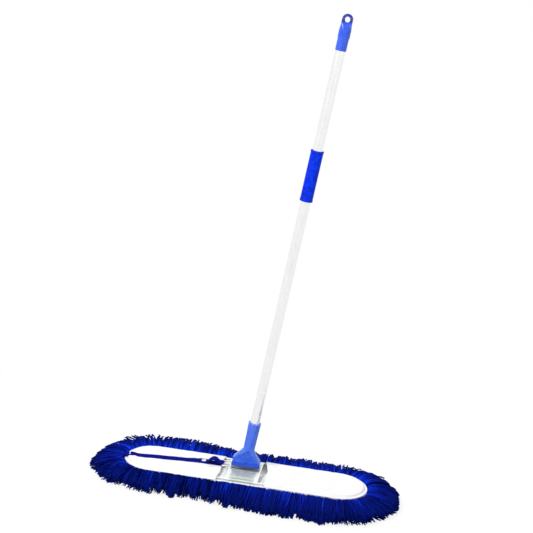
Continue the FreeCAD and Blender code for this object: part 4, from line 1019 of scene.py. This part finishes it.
# Floor, light and camera
def stage_floor():
    bpy.ops.object.select_all(action="DESELECT")
    bpy.ops.mesh.primitive_plane_add(size=30, location=(0, 0, -0.0005))
    floor = bpy.context.object
    floor.name = "floor"
    material, tree, shader, place = new_material("pale floor", Roughness=0.9)
    shader.inputs["Base Color"].default_value = (0.9, 0.9, 0.9, 1)
    shader.inputs["Specular IOR Level"].default_value = 0.1
    rays = tree.nodes.new("ShaderNodeLightPath")
    distance = node(tree, "ShaderNodeVectorMath", {0: place}, operation="LENGTH").outputs["Value"]
    paper = ramp(tree, maths(tree, "DIVIDE", distance, 2.0), [(0.2, grey(0.82)), (0.5, grey(1.0))])
    white = node(tree, "ShaderNodeEmission", {"Color": (1, 1, 1, 1), "Strength": 1.0})
    seen = maths(tree, "MAXIMUM", rays.outputs["Is Camera Ray"], rays.outputs["Is Glossy Ray"])
    share = maths(tree, "MULTIPLY", paper, seen)
    both = node(tree, "ShaderNodeMixShader", {"Fac": share, 1: shader.outputs[0], 2: white.outputs[0]})
    tree.links.new(both.outputs[0], tree.nodes["Material Output"].inputs["Surface"])
    floor.data.materials.append(material)
    return floor


def studio():
    world = bpy.data.worlds.new("studio")
    bpy.context.scene.world = world
    world.use_nodes = True
    tree = world.node_tree
    tree.nodes.clear()
    rays = tree.nodes.new("ShaderNodeLightPath")
    seen = maths(tree, "MAXIMUM", rays.outputs["Is Camera Ray"], rays.outputs["Is Glossy Ray"])
    seen = maths(tree, "MAXIMUM", seen, rays.outputs["Is Transmission Ray"])
    dim = node(tree, "ShaderNodeBackground", {"Color": (1, 1, 1, 1), "Strength": 0.5})
    white = node(tree, "ShaderNodeBackground", {"Color": (1, 1, 1, 1), "Strength": 1.0})
    either = node(tree, "ShaderNodeMixShader", {"Fac": seen, 1: dim.outputs[0], 2: white.outputs[0]})
    end = tree.nodes.new("ShaderNodeOutputWorld")
    tree.links.new(either.outputs[0], end.inputs["Surface"])


def area_light(name, place, aim, size, power):
    data = bpy.data.lights.new(name, "AREA")
    data.energy = power
    data.size = size
    lamp = bpy.data.objects.new(name, data)
    bpy.context.collection.objects.link(lamp)
    lamp.location = place
    lamp.rotation_euler = (Vector(aim) - Vector(place)).to_track_quat("-Z", "Y").to_euler()


SENSOR = 36
FOCAL_PIXELS = 1212
PICTURE_WIDTH = 533


def photo_camera():
    """Camera found from the backing's outline and the pole: place, and turns about its own axes."""
    azimuth = math.radians(-7.36)
    down = math.radians(15.27)
    roll = math.radians(5.4)
    ahead = Vector((math.sin(azimuth) * math.cos(down), math.cos(azimuth) * math.cos(down), -math.sin(down)))
    right = Vector((math.cos(azimuth), -math.sin(azimuth), 0))
    above = right.cross(ahead)
    turned_right = right * math.cos(roll) + above * math.sin(roll)
    turned_above = above * math.cos(roll) - right * math.sin(roll)
    data = bpy.data.cameras.new("camera")
    data.sensor_width = SENSOR
    data.lens = FOCAL_PIXELS / PICTURE_WIDTH * SENSOR
    data.clip_end = 100
    camera = bpy.data.objects.new("camera", data)
    bpy.context.collection.objects.link(camera)
    turn = Matrix((turned_right, turned_above, -ahead)).transposed().to_4x4()
    camera.matrix_world = Matrix.Translation(Vector((0.376, -2.873, 1.383))) @ turn
    bpy.context.scene.camera = camera


stage_floor()
studio()
area_light("key light", (-1.6, -2.2, 3.0), (0, 0, 0.3), 0.9, 120)
area_light("fill light", (2.4, -1.8, 1.8), (0, 0, 0.4), 1.0, 20)
area_light("back light", (0.3, 2.4, 2.6), (0, 0, 0.3), 1.8, 30)
photo_camera()
bpy.context.scene.view_settings.view_transform = "Standard"
